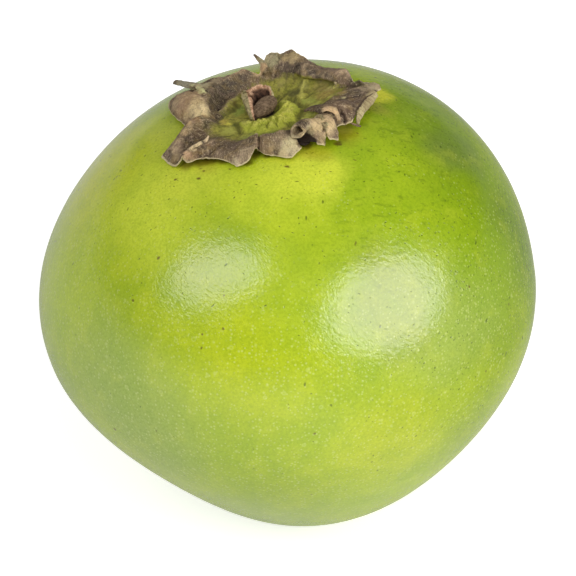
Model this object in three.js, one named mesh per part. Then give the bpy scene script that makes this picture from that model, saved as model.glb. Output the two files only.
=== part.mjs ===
// A black sapote: a round green berry with its withered calyx and the broken end of its stalk.
// Millimetres, +Z up. The origin is the middle of the small flat spot that the fruit rests on.

import * as THREE from 'three';
import { mergeVertices } from 'three/addons/utils/BufferGeometryUtils.js';

const { degToRad, radToDeg, lerp } = THREE.MathUtils;

// The berry, in its own frame: the axis runs from the foot to the stalk, through the widest ring.
const girth = 47.5;
const crownHeight = 46.7;
const footHeight = 46.1;
const crownPower = 2.26;
const footPower = 1.83;
const dimpleDepth = 3.5;
const dimpleReach = 14;
const berryDetail = 15;

// One flank grew fuller, in a broad belt that fades out round the berry.
const flankGrowth = 0.107;
const flankElevation = 6;
const flankSpread = 26;

// Smaller swellings and flatter places, as a share of the radius there.
const swellingSpread = 0.12;
const swellings = [
  { azimuth: -100, elevation: -57, growth: 0.01 },
  { azimuth: -31, elevation: -42, growth: -0.033 },
  { azimuth: -153, elevation: -31, growth: -0.05 },
  { azimuth: 95, elevation: -10, growth: 0.012 },
];

// How it rests: the axis leans towards -X, and the foot is flattened a little.
const lean = degToRad(8.6);
const spotDepth = 2;
const spotCentre = new THREE.Vector2(1.5, 0);

// The calyx: a leathery disc on the crown, with a swollen collar round the stalk.
const gap = 0.3;
const calyxThickness = 0.9;
const calyxSectors = 80;
const discRadii = [1.5, 2.6, 3.4, 4.0, 4.7, 5.4, 6.1, 7.0, 8.2, 9.6];
const lobeRings = 6;
const collarRadius = 4.6;
const collarWidth = 1.35;
const collarRise = 1.8;
const collarFolds = 9;
const foldDepth = 0.15;

// The lobes, round the rim: the azimuth, the crest's radius and lift, and the margin's.
// A lift is the height of the calyx's upper face over the berry's skin.
const lobeStations = [
  // front left lobe, lying down over the shoulder
  [-173, 12.5, 3.0, 16.0, 2.4],
  [-157, 13.0, 3.8, 21.6, 1.7],
  [-146, 13.5, 2.6, 22.4, 1.5],
  [-138, 13.5, 3.0, 20.4, 2.1],
  [-128, 13.0, 2.4, 18.6, 1.8],
  // front lobe
  [-117, 13.0, 2.6, 18.3, 1.5],
  [-106, 13.0, 2.8, 19.3, 1.5],
  [-97, 12.0, 2.6, 15.4, 1.9],
  // front right lobe, curled back on itself
  [-86, 12.4, 3.2, 16.8, 1.6],
  [-75, 12.6, 3.4, 18.5, 1.5],
  [-63, 13.0, 3.6, 17.0, 2.0],
  [-54, 13.5, 4.4, 18.7, 1.9],
  [-46, 14.0, 4.2, 19.6, 1.9],
  [-37, 13.5, 3.6, 18.2, 2.2],
  // right lobe
  [-28, 14.0, 3.4, 20.2, 1.8],
  [-8, 14.5, 3.4, 20.8, 1.9],
  [8, 14.5, 2.8, 22.4, 2.4],
  [16, 13.0, 2.4, 18.2, 3.0],
  // back right lobe, rolled up
  [26, 12.5, 2.8, 17.4, 4.0],
  [38, 12.0, 3.0, 14.8, 4.2],
  [52, 11.8, 3.0, 14.2, 4.2],
  [72, 12.5, 3.0, 17.6, 4.6],
  // back left lobe
  [84, 12.0, 2.8, 15.2, 4.0],
  [97, 11.8, 2.6, 15.0, 3.4],
  [112, 11.8, 2.8, 14.0, 3.2],
  [134, 12.2, 3.4, 15.4, 3.2],
  // left lobe, a broad roll
  [147, 13.0, 4.2, 19.6, 2.8],
  [163, 13.5, 4.6, 20.6, 2.3],
  [178, 13.0, 3.8, 17.8, 1.9],
];

// The stalk's broken end: a torn sleeve of bark beside a woody core.
const coreRadii = new THREE.Vector3(2.6, 1.85, 1.9);
const coreTurn = degToRad(18);
const sleeveCentre = new THREE.Vector2(-1.6, 0.9);
const sleeveRadius = 3.6;
const sleeveWall = 0.7;
const sleeveStart = degToRad(45);
const sleeveEnd = degToRad(240);
const sleeveSteps = 24;
const sleeveHeight = 2.6;
const sleeveTear = 0.3;

const skinFinish = { color: '#9db843', roughness: 0.32, metalness: 0 };
const calyxFinish = { color: '#6d6048', roughness: 0.85, metalness: 0 };
const barkFinish = { color: '#8f7059', roughness: 0.85, metalness: 0 };
const coreFinish = { color: '#5f554a', roughness: 0.8, metalness: 0 };

function pieceOf(name, geometry, finish) {
  const piece = new THREE.Mesh(geometry, new THREE.MeshStandardMaterial(finish));
  piece.name = name;
  return piece;
}

function directionAt(azimuth, elevation) {
  const level = Math.cos(elevation);
  return new THREE.Vector3(level * Math.cos(azimuth), level * Math.sin(azimuth), Math.sin(elevation));
}

const swellingDirections = swellings.map(
  (swelling) => directionAt(degToRad(swelling.azimuth), degToRad(swelling.elevation)),
);

// The full flank faces -X.
function flankShare(direction) {
  const elevation = radToDeg(Math.asin(direction.z));
  const azimuth = Math.atan2(direction.y, direction.x);
  const belt = Math.exp(-(((elevation - flankElevation) / flankSpread) ** 2));
  return flankGrowth * belt * (1 - Math.cos(azimuth)) / 2;
}

function swellingShare(direction) {
  const shares = swellings.map((swelling, i) => {
    const away = 1 - direction.dot(swellingDirections[i]);
    return swelling.growth * Math.exp(-away / swellingSpread);
  });
  return shares.reduce((sum, share) => sum + share, 0);
}

// The distance from the berry's centre to its skin along a unit direction.
function skinDistance(direction) {
  const isCrown = direction.z > 0;
  const power = isCrown ? crownPower : footPower;
  const height = isCrown ? crownHeight : footHeight;
  const across = Math.hypot(direction.x, direction.y);
  const plain = ((across / girth) ** power + (Math.abs(direction.z) / height) ** power) ** (-1 / power);
  const grown = plain * (1 + flankShare(direction) + swellingShare(direction));
  const dimple = isCrown ? dimpleDepth * Math.exp(-((grown * across / dimpleReach) ** 2)) : 0;
  return grown - dimple;
}

// The point of the crown's skin at a distance from the axis, found by halving the angle's range.
function crownPoint(radius, azimuth) {
  let low = 0;
  let high = Math.PI / 3;
  for (let step = 0; step < 40; step++) {
    const middle = (low + high) / 2;
    const reached = Math.sin(middle) * skinDistance(directionAt(azimuth, Math.PI / 2 - middle));
    if (reached < radius) low = middle;
    else high = middle;
  }
  const direction = directionAt(azimuth, Math.PI / 2 - low);
  return direction.multiplyScalar(skinDistance(direction));
}

function leaned(point) {
  return point.applyAxisAngle(new THREE.Vector3(0, 1, 0), -lean);
}

function berryGeometry() {
  const geometry = new THREE.IcosahedronGeometry(1, berryDetail);
  geometry.deleteAttribute('normal');
  geometry.deleteAttribute('uv');
  const berry = mergeVertices(geometry, 1e-5);
  const place = berry.getAttribute('position');
  const point = new THREE.Vector3();
  for (let i = 0; i < place.count; i++) {
    point.fromBufferAttribute(place, i).normalize();
    leaned(point.multiplyScalar(skinDistance(point)));
    place.setXYZ(i, point.x, point.y, point.z);
  }
  berry.computeBoundingBox();
  return berry;
}

// Flattens the foot and moves the geometry so that the flat spot's middle is the origin.
function restOnSpot(geometry, centreHeight) {
  const place = geometry.getAttribute('position');
  geometry.translate(-spotCentre.x, -spotCentre.y, centreHeight);
  for (let i = 0; i < place.count; i++) {
    place.setZ(i, Math.max(0, place.getZ(i)));
  }
  geometry.computeVertexNormals();
}

// How far the calyx's upper face stands over the skin, on the disc and the collar.
function discLift(radius, azimuth) {
  const folds = 1 - foldDepth * (1 - Math.cos(collarFolds * azimuth)) / 2;
  const collar = collarRise * folds * Math.exp(-(((radius - collarRadius) / collarWidth) ** 2));
  return gap + calyxThickness + collar;
}

function lifted(radius, azimuth, lift) {
  const point = crownPoint(radius, azimuth);
  point.z += lift;
  return point;
}

// A closed curve round the calyx through one point of every station.
function stationLoop(radiusAt, liftAt) {
  const points = lobeStations.map((station) => {
    const azimuth = degToRad(station[0]);
    const radius = radiusAt(station);
    return lifted(radius, azimuth, liftAt(station, radius, azimuth));
  });
  return new THREE.CatmullRomCurve3(points, true, 'catmullrom', 0.5);
}

// The rings of the calyx's upper face, from the middle to the margin.
function calyxRings() {
  const discEdge = discRadii[discRadii.length - 1];
  const edge = stationLoop(() => discEdge, (station, radius, azimuth) => discLift(radius, azimuth));
  const crest = stationLoop((station) => station[1], (station) => station[2]);
  const margin = stationLoop((station) => station[3], (station) => station[4]);
  const rings = Array.from({ length: discRadii.length + lobeRings }, () => []);
  for (let sector = 0; sector < calyxSectors; sector++) {
    const turn = sector / calyxSectors;
    const onEdge = edge.getPoint(turn);
    const azimuth = Math.atan2(onEdge.y, onEdge.x);
    discRadii.forEach((radius, i) => rings[i].push(lifted(radius, azimuth, discLift(radius, azimuth))));
    const inner = lifted(discRadii.at(-2), azimuth, discLift(discRadii.at(-2), azimuth));
    const rib = new THREE.CatmullRomCurve3([inner, onEdge, crest.getPoint(turn), margin.getPoint(turn)]);
    for (let step = 1; step <= lobeRings; step++) {
      rings[discRadii.length - 1 + step].push(rib.getPoint((1 + (2 * step) / lobeRings) / 3));
    }
  }
  return rings;
}

// A closed sheet: the upper face, and the same net again, a thickness below it along its normals.
function calyxGeometry() {
  const rings = calyxRings();
  const centre = lifted(0, 0, discLift(0, 0));
  const upper = [centre, ...rings.flat()];
  const faces = [];
  const at = (ring, sector) => 1 + ring * calyxSectors + (sector % calyxSectors);
  for (let sector = 0; sector < calyxSectors; sector++) {
    faces.push([0, at(0, sector), at(0, sector + 1)]);
    for (let ring = 0; ring < rings.length - 1; ring++) {
      faces.push([at(ring, sector), at(ring + 1, sector), at(ring + 1, sector + 1)]);
      faces.push([at(ring, sector), at(ring + 1, sector + 1), at(ring, sector + 1)]);
    }
  }
  const sheet = new THREE.BufferGeometry().setFromPoints(upper);
  sheet.setIndex(faces.flat());
  sheet.computeVertexNormals();
  const normals = sheet.getAttribute('normal');
  const lower = upper.map((point, i) => underside(point, new THREE.Vector3().fromBufferAttribute(normals, i)));
  const offset = upper.length;
  const under = faces.map(([a, b, c]) => [a + offset, c + offset, b + offset]);
  const wall = [];
  for (let sector = 0; sector < calyxSectors; sector++) {
    const here = at(rings.length - 1, sector);
    const next = at(rings.length - 1, sector + 1);
    wall.push([here, here + offset, next + offset], [here, next + offset, next]);
  }
  const closed = new THREE.BufferGeometry().setFromPoints([...upper, ...lower]);
  closed.setIndex([...faces, ...under, ...wall].flat());
  closed.computeVertexNormals();
  return closed;
}

// The lower face's point under an upper one, kept clear of the berry's skin.
function underside(point, normal) {
  const under = point.clone().addScaledVector(normal, -calyxThickness);
  const skin = crownPoint(Math.hypot(under.x, under.y), Math.atan2(under.y, under.x));
  under.z = Math.max(under.z, skin.z + gap);
  return under;
}

function coreGeometry() {
  const geometry = new THREE.SphereGeometry(1, 18, 12);
  geometry.scale(coreRadii.x, coreRadii.y, coreRadii.z);
  geometry.rotateZ(coreTurn);
  const foot = lifted(0, 0, discLift(0, 0) + gap);
  geometry.translate(0, 0, foot.z + coreRadii.z);
  return geometry;
}

// The sleeve's ragged height over the collar, from one end of the tear to the other.
function sleeveRise(share) {
  const body = Math.sin(Math.PI * Math.min(1, 0.25 + 0.7 * share)) ** 0.6;
  return sleeveHeight * body + sleeveTear * Math.sin(23 * share);
}

// A curved wall that follows the calyx below it and is torn along the top.
function sleeveGeometry() {
  const points = [];
  for (let step = 0; step <= sleeveSteps; step++) {
    const share = step / sleeveSteps;
    const turn = lerp(sleeveStart, sleeveEnd, share);
    for (const radius of [sleeveRadius, sleeveRadius - sleeveWall]) {
      const x = sleeveCentre.x + radius * Math.cos(turn);
      const y = sleeveCentre.y + radius * Math.sin(turn);
      const across = Math.hypot(x, y);
      const azimuth = Math.atan2(y, x);
      const foot = lifted(across, azimuth, discLift(across, azimuth) + gap);
      points.push(foot, foot.clone().setZ(foot.z + Math.max(0.6, sleeveRise(share))));
    }
  }
  const faces = [];
  const quad = (a, b, c, d) => faces.push(a, b, c, a, c, d);
  for (let step = 0; step < sleeveSteps; step++) {
    const [outFoot, outTop, inFoot, inTop] = [0, 1, 2, 3].map((i) => 4 * step + i);
    quad(outFoot, outFoot + 4, outTop + 4, outTop);
    quad(inTop, inTop + 4, inFoot + 4, inFoot);
    quad(outTop, outTop + 4, inTop + 4, inTop);
    quad(inFoot, inFoot + 4, outFoot + 4, outFoot);
  }
  const last = 4 * sleeveSteps;
  quad(0, 1, 3, 2);
  quad(last, last + 2, last + 3, last + 1);
  const geometry = new THREE.BufferGeometry().setFromPoints(points);
  geometry.setIndex(faces);
  geometry.computeVertexNormals();
  return geometry;
}

const berry = berryGeometry();
const centreHeight = -berry.boundingBox.min.z - spotDepth;
restOnSpot(berry, centreHeight);

const crownGroup = new THREE.Group();
crownGroup.position.set(-spotCentre.x, -spotCentre.y, centreHeight);
crownGroup.rotation.y = -lean;
crownGroup.add(
  pieceOf('calyx', calyxGeometry(), calyxFinish),
  pieceOf('stalk_sleeve', sleeveGeometry(), barkFinish),
  pieceOf('stalk_core', coreGeometry(), coreFinish),
);

const sapote = new THREE.Group();
sapote.add(pieceOf('fruit', berry, skinFinish), crownGroup);

export default sapote;
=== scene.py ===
# A black sapote on a pale table: the green berry, its withered calyx and the broken end of its stalk.
import math

import bpy
import numpy as np
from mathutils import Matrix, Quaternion, Vector, noise


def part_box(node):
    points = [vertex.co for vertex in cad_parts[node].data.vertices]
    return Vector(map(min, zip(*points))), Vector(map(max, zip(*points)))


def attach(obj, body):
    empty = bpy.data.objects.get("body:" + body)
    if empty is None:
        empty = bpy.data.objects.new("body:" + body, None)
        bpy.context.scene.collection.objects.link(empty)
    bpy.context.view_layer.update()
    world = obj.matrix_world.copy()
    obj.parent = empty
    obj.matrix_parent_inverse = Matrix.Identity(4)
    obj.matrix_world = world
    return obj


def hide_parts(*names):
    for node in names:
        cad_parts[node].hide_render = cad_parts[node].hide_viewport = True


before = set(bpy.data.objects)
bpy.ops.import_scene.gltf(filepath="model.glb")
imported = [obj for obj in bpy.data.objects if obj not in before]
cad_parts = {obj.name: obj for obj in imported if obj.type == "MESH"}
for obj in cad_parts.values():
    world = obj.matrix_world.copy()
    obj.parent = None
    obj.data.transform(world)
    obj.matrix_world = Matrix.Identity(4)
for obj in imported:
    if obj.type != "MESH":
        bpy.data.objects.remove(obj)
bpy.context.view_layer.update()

mm = 0.001  # metres in a millimetre
print("packed model loaded")


# node trees
class Wire:
    # a node's output, which can stand in a plain sum
    def __init__(self, board, socket):
        self.board = board
        self.socket = socket

    def __add__(self, other):
        return self.board.maths("ADD", self, other)

    def __radd__(self, other):
        return self.board.maths("ADD", other, self)

    def __sub__(self, other):
        return self.board.maths("SUBTRACT", self, other)

    def __rsub__(self, other):
        return self.board.maths("SUBTRACT", other, self)

    def __mul__(self, other):
        return self.board.maths("MULTIPLY", self, other)

    def __rmul__(self, other):
        return self.board.maths("MULTIPLY", other, self)

    def __truediv__(self, other):
        return self.board.maths("DIVIDE", self, other)

    def __rtruediv__(self, other):
        return self.board.maths("DIVIDE", other, self)

    def __pow__(self, other):
        return self.board.maths("POWER", self, other)


class Board:
    # a node tree, and the one way nodes are added to it
    def __init__(self, tree):
        self.tree = tree

    def add(self, kind, settings=None, sockets=None, output=0):
        node = self.tree.nodes.new(kind)
        for name, value in (settings or {}).items():
            setattr(node, name, value)
        for name, value in (sockets or {}).items():
            self.plug(node.inputs[name], value)
        return Wire(self, node.outputs[output])

    def plug(self, socket, value):
        if isinstance(value, Wire):
            self.tree.links.new(value.socket, socket)
        else:
            socket.default_value = value

    def maths(self, operation, *values):
        return self.add("ShaderNodeMath", {"operation": operation}, dict(enumerate(values)))

    def clamped(self, value):
        return self.add("ShaderNodeClamp", None, {"Value": value})

    def vector(self, operation, *values, output=0):
        settings = {"operation": operation}
        return self.add("ShaderNodeVectorMath", settings, dict(enumerate(values)), output)

    def scaled(self, vector, amount):
        sockets = {"Vector": vector, "Scale": amount}
        return self.add("ShaderNodeVectorMath", {"operation": "SCALE"}, sockets)

    def turned(self, vector, axis, angle):
        sockets = {"Vector": vector, "Axis": axis, "Angle": angle}
        return self.add("ShaderNodeVectorRotate", {"rotation_type": "AXIS_ANGLE"}, sockets)

    def parts(self, vector):
        split = self.add("ShaderNodeSeparateXYZ", None, {"Vector": vector})
        return [Wire(self, split.socket.node.outputs[i]) for i in range(3)]

    def joined(self, x, y, z):
        return self.add("ShaderNodeCombineXYZ", None, {"X": x, "Y": y, "Z": z})

    # 0 below low, 1 above high, eased between
    def rise(self, value, low, high, start=0.0, end=1.0):
        sockets = {"Value": value, "From Min": low, "From Max": high, "To Min": start, "To Max": end}
        return self.add("ShaderNodeMapRange", {"interpolation_type": "SMOOTHSTEP"}, sockets)

    # 1 below low, 0 above high
    def fall(self, value, low, high):
        return self.rise(value, low, high, 1.0, 0.0)

    def mixed(self, share, first, second, blend="MIX"):
        settings = {"data_type": "RGBA", "blend_type": blend, "clamp_result": True}
        return self.add("ShaderNodeMix", settings, {0: share, 6: first, 7: second}, output=2)

    def cloud(self, place, scale, detail=2.0, roughness=0.5, output=0):
        sockets = {"Vector": place, "Scale": scale, "Detail": detail, "Roughness": roughness}
        return self.add("ShaderNodeTexNoise", None, sockets, output)

    # a place carried a little way off by a slow cloud
    def wandered(self, place, scale, reach, detail=2.0):
        cloud = self.cloud(place, scale, detail=detail, output=1)
        drift = self.vector("SUBTRACT", cloud, (0.5, 0.5, 0.5))
        return self.vector("ADD", place, self.scaled(drift, reach))

    # distance to the nearest of many scattered points, and three random numbers for that point
    def scatter(self, place, spacing):
        cells = self.add("ShaderNodeTexVoronoi", None, {"Vector": place, "Scale": 1 / spacing})
        return cells * spacing, self.parts(Wire(self, cells.socket.node.outputs["Color"]))

    # 1 where a value is over another, else 0
    def over(self, value, other):
        return self.maths("GREATER_THAN", value, other)

    # a soft round spot of another colour
    def spot(self, colour, place, centre, inner, outer, strength, shade):
        away = self.vector("DISTANCE", place, centre, output=1)
        return self.mixed(strength * self.fall(away, inner, outer), colour, shade)


# the berry's form, in its own frame and in millimetres
berry = {
    "girth": 47.5,            # radius at the widest ring
    "crownHeight": 46.7,
    "footHeight": 46.1,
    "crownPower": 2.26,       # 2 is an ellipsoid, more is squarer
    "footPower": 1.83,
    "dimpleDepth": 3.5,       # under the calyx
    "dimpleReach": 14.0,
    "flankGrowth": 0.107,     # the fuller flank, towards -X
    "flankElevation": 6.0,
    "flankSpread": 26.0,
    "swellingSpread": 0.12,
    "swellings": [            # azimuth, elevation, growth; less than 0 flattens
        (-100, -57, 0.01),
        (-31, -42, -0.033),
        (-153, -31, -0.05),
        (95, -10, 0.012),
    ],
    "lean": 8.6,              # degrees towards -X
    "spotSoftness": 0.25,     # how gently the resting spot turns up into the flank
    "unevenness": 0.14,
    "subdivisions": 7,
}


def directionAt(azimuth, elevation):
    azimuth = np.radians(azimuth)
    elevation = np.radians(elevation)
    level = np.cos(elevation)
    return np.stack([level * np.cos(azimuth), level * np.sin(azimuth), np.sin(elevation)], -1)


# distance from the berry's centre to its skin along unit directions
def skinDistance(directions):
    across = np.hypot(directions[..., 0], directions[..., 1])
    up = directions[..., 2]
    isCrown = up > 0
    power = np.where(isCrown, berry["crownPower"], berry["footPower"])
    height = np.where(isCrown, berry["crownHeight"], berry["footHeight"])
    plain = ((across / berry["girth"]) ** power + (np.abs(up) / height) ** power) ** (-1 / power)
    elevation = np.degrees(np.arcsin(np.clip(up, -1, 1)))
    belt = np.exp(-(((elevation - berry["flankElevation"]) / berry["flankSpread"]) ** 2))
    share = 1 + berry["flankGrowth"] * belt * (1 - directions[..., 0] / np.maximum(across, 1e-6)) / 2
    for azimuth, height, growth in berry["swellings"]:
        away = 1 - directions @ directionAt(azimuth, height)
        share = share + growth * np.exp(-away / berry["swellingSpread"])
    grown = plain * share
    dimple = berry["dimpleDepth"] * np.exp(-((grown * across / berry["dimpleReach"]) ** 2))
    return grown - np.where(isCrown, dimple, 0)


# height of the crown's skin at a distance from the axis, found by halving the angle's range
def crownHeightAt(radius, azimuth):
    radius, azimuth = np.broadcast_arrays(np.asarray(radius, float), np.asarray(azimuth, float))
    low = np.zeros_like(radius)
    high = np.full_like(radius, 60.0)
    for _ in range(30):
        middle = (low + high) / 2
        directions = directionAt(azimuth, 90 - middle)
        isShort = np.sin(np.radians(middle)) * skinDistance(directions) < radius
        low = np.where(isShort, middle, low)
        high = np.where(isShort, high, middle)
    return np.cos(np.radians(low)) * skinDistance(directionAt(azimuth, 90 - low))


def leaned(points):
    lean = math.radians(berry["lean"])
    x = points[..., 0] * math.cos(lean) - points[..., 2] * math.sin(lean)
    z = points[..., 0] * math.sin(lean) + points[..., 2] * math.cos(lean)
    return np.stack([x, points[..., 1], z], -1)


# the berry's centre, so that the form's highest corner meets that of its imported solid
def findBerryCentre():
    azimuth, elevation = np.meshgrid(np.arange(0, 360, 1.5), np.arange(-88.5, 90, 1.5))
    directions = directionAt(azimuth, elevation)
    points = leaned(directions * skinDistance(directions)[..., None])
    reach = points.reshape(-1, 3).max(0)
    return np.array(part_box("fruit")[1]) / mm - reach


berryCentre = findBerryCentre()
print("berry centre", berryCentre.round(2))


# points in the berry's own frame, in millimetres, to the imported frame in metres
def placed(points):
    return (leaned(points) + berryCentre) * mm


def meshPiece(name, points, faces, material):
    mesh = bpy.data.meshes.new(name)
    mesh.from_pydata([tuple(p) for p in points], [], [tuple(f) for f in faces])
    mesh.update()
    mesh.shade_smooth()
    piece = bpy.data.objects.new(name, mesh)
    bpy.context.collection.objects.link(piece)
    mesh.materials.append(material)
    return piece


# the berry tree's inputs, each named for the size it takes
formSizes = {
    "Girth": berry["girth"], "Crown Height": berry["crownHeight"], "Foot Height": berry["footHeight"],
    "Crown Power": berry["crownPower"], "Foot Power": berry["footPower"],
    "Dimple Depth": berry["dimpleDepth"], "Dimple Reach": berry["dimpleReach"],
    "Flank Growth": berry["flankGrowth"], "Flank Elevation": berry["flankElevation"],
    "Flank Spread": berry["flankSpread"], "Swelling Spread": berry["swellingSpread"],
    "Lean": math.radians(berry["lean"]), "Spot Softness": berry["spotSoftness"],
    "Unevenness": berry["unevenness"],
}


def addSocket(tree, name, kind, value):
    socket = tree.interface.new_socket(name, in_out="INPUT", socket_type=kind)
    if value is not None:
        socket.default_value = value
    return socket


def buildBerryTree():
    tree = bpy.data.node_groups.new("berryForm", "GeometryNodeTree")
    tree.interface.new_socket("Geometry", in_out="INPUT", socket_type="NodeSocketGeometry")
    tree.interface.new_socket("Geometry", in_out="OUTPUT", socket_type="NodeSocketGeometry")
    addSocket(tree, "Subdivisions", "NodeSocketInt", 4)
    for name in formSizes:
        addSocket(tree, name, "NodeSocketFloat", 1.0)
    addSocket(tree, "Centre", "NodeSocketVector", None)
    addSocket(tree, "Skin", "NodeSocketMaterial", None)

    board = Board(tree)
    given = tree.nodes.new("NodeGroupInput")

    def size(name):
        return Wire(board, given.outputs[name])

    ballSize = {"Radius": 1.0, "Subdivisions": size("Subdivisions")}
    ball = board.add("GeometryNodeMeshIcoSphere", None, ballSize)
    direction = board.vector("NORMALIZE", board.add("GeometryNodeInputPosition"))
    x, y, z = board.parts(direction)
    across = board.maths("MAXIMUM", board.maths("SQRT", x * x + y * y), 1e-6)
    isCrown = board.over(z, 0.0)
    power = size("Foot Power") + (size("Crown Power") - size("Foot Power")) * isCrown
    height = size("Foot Height") + (size("Crown Height") - size("Foot Height")) * isCrown
    plain = ((across / size("Girth")) ** power
             + (board.maths("ABSOLUTE", z) / height) ** power) ** (-1 / power)
    elevation = board.maths("DEGREES", board.maths("ARCSINE", z))
    fromBelt = (elevation - size("Flank Elevation")) / size("Flank Spread")
    belt = board.maths("EXPONENT", 0 - fromBelt * fromBelt)
    share = 1 + size("Flank Growth") * belt * (1 - x / across) / 2
    for azimuth, swellingElevation, growth in berry["swellings"]:
        middle = tuple(directionAt(azimuth, swellingElevation))
        towards = board.vector("DOT_PRODUCT", direction, middle, output=1)
        share = share + growth * board.maths("EXPONENT", (towards - 1) / size("Swelling Spread"))
    grown = plain * share
    fromAxis = grown * across / size("Dimple Reach")
    dimple = size("Dimple Depth") * board.maths("EXPONENT", 0 - fromAxis * fromAxis) * isCrown
    waves = board.cloud(direction, 5.0, detail=3.0) - 0.5
    radius = grown - dimple + waves * size("Unevenness")
    own = board.scaled(direction, radius)
    leaning = board.turned(own, (0.0, 1.0, 0.0), 0 - size("Lean"))
    inFrame = board.vector("ADD", leaning, size("Centre"))
    px, py, pz = board.parts(inFrame)
    # the skin eases on to the table where the plain form would go through it
    soft = size("Spot Softness")
    restingHeight = (pz + board.maths("SQRT", pz * pz + soft * soft)) / 2
    settled = board.joined(px, py, restingHeight)
    moved = board.add("GeometryNodeSetPosition", None,
                      {"Geometry": ball, "Position": board.scaled(settled, mm)})
    smooth = board.add("GeometryNodeSetShadeSmooth", None, {"Geometry": moved})
    whole = board.add("GeometryNodeRealizeInstances", None, {"Geometry": smooth})
    coloured = board.add("GeometryNodeSetMaterial", None, {"Geometry": whole, "Material": size("Skin")})
    out = tree.nodes.new("NodeGroupOutput")
    board.plug(out.inputs["Geometry"], coloured)
    return tree


def makeBerry(skin):
    tree = buildBerryTree()
    host = bpy.data.objects.new("berryHost", bpy.data.meshes.new("berryHost"))
    bpy.context.collection.objects.link(host)
    modifier = host.modifiers.new("form", "NODES")
    modifier.node_group = tree
    centre = [float(v) for v in berryCentre]
    values = {"Subdivisions": berry["subdivisions"], "Centre": centre, "Skin": skin, **formSizes}
    for item in tree.interface.items_tree:
        if item.in_out == "INPUT" and item.name in values:
            modifier[item.identifier] = values[item.name]
    bpy.context.view_layer.update()
    ready = host.evaluated_get(bpy.context.evaluated_depsgraph_get())
    mesh = bpy.data.meshes.new_from_object(ready)
    host.modifiers.clear()
    bpy.data.objects.remove(host)
    mesh.name = "sapoteSkin"
    piece = bpy.data.objects.new("sapoteSkin", mesh)
    bpy.context.collection.objects.link(piece)
    return piece


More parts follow.
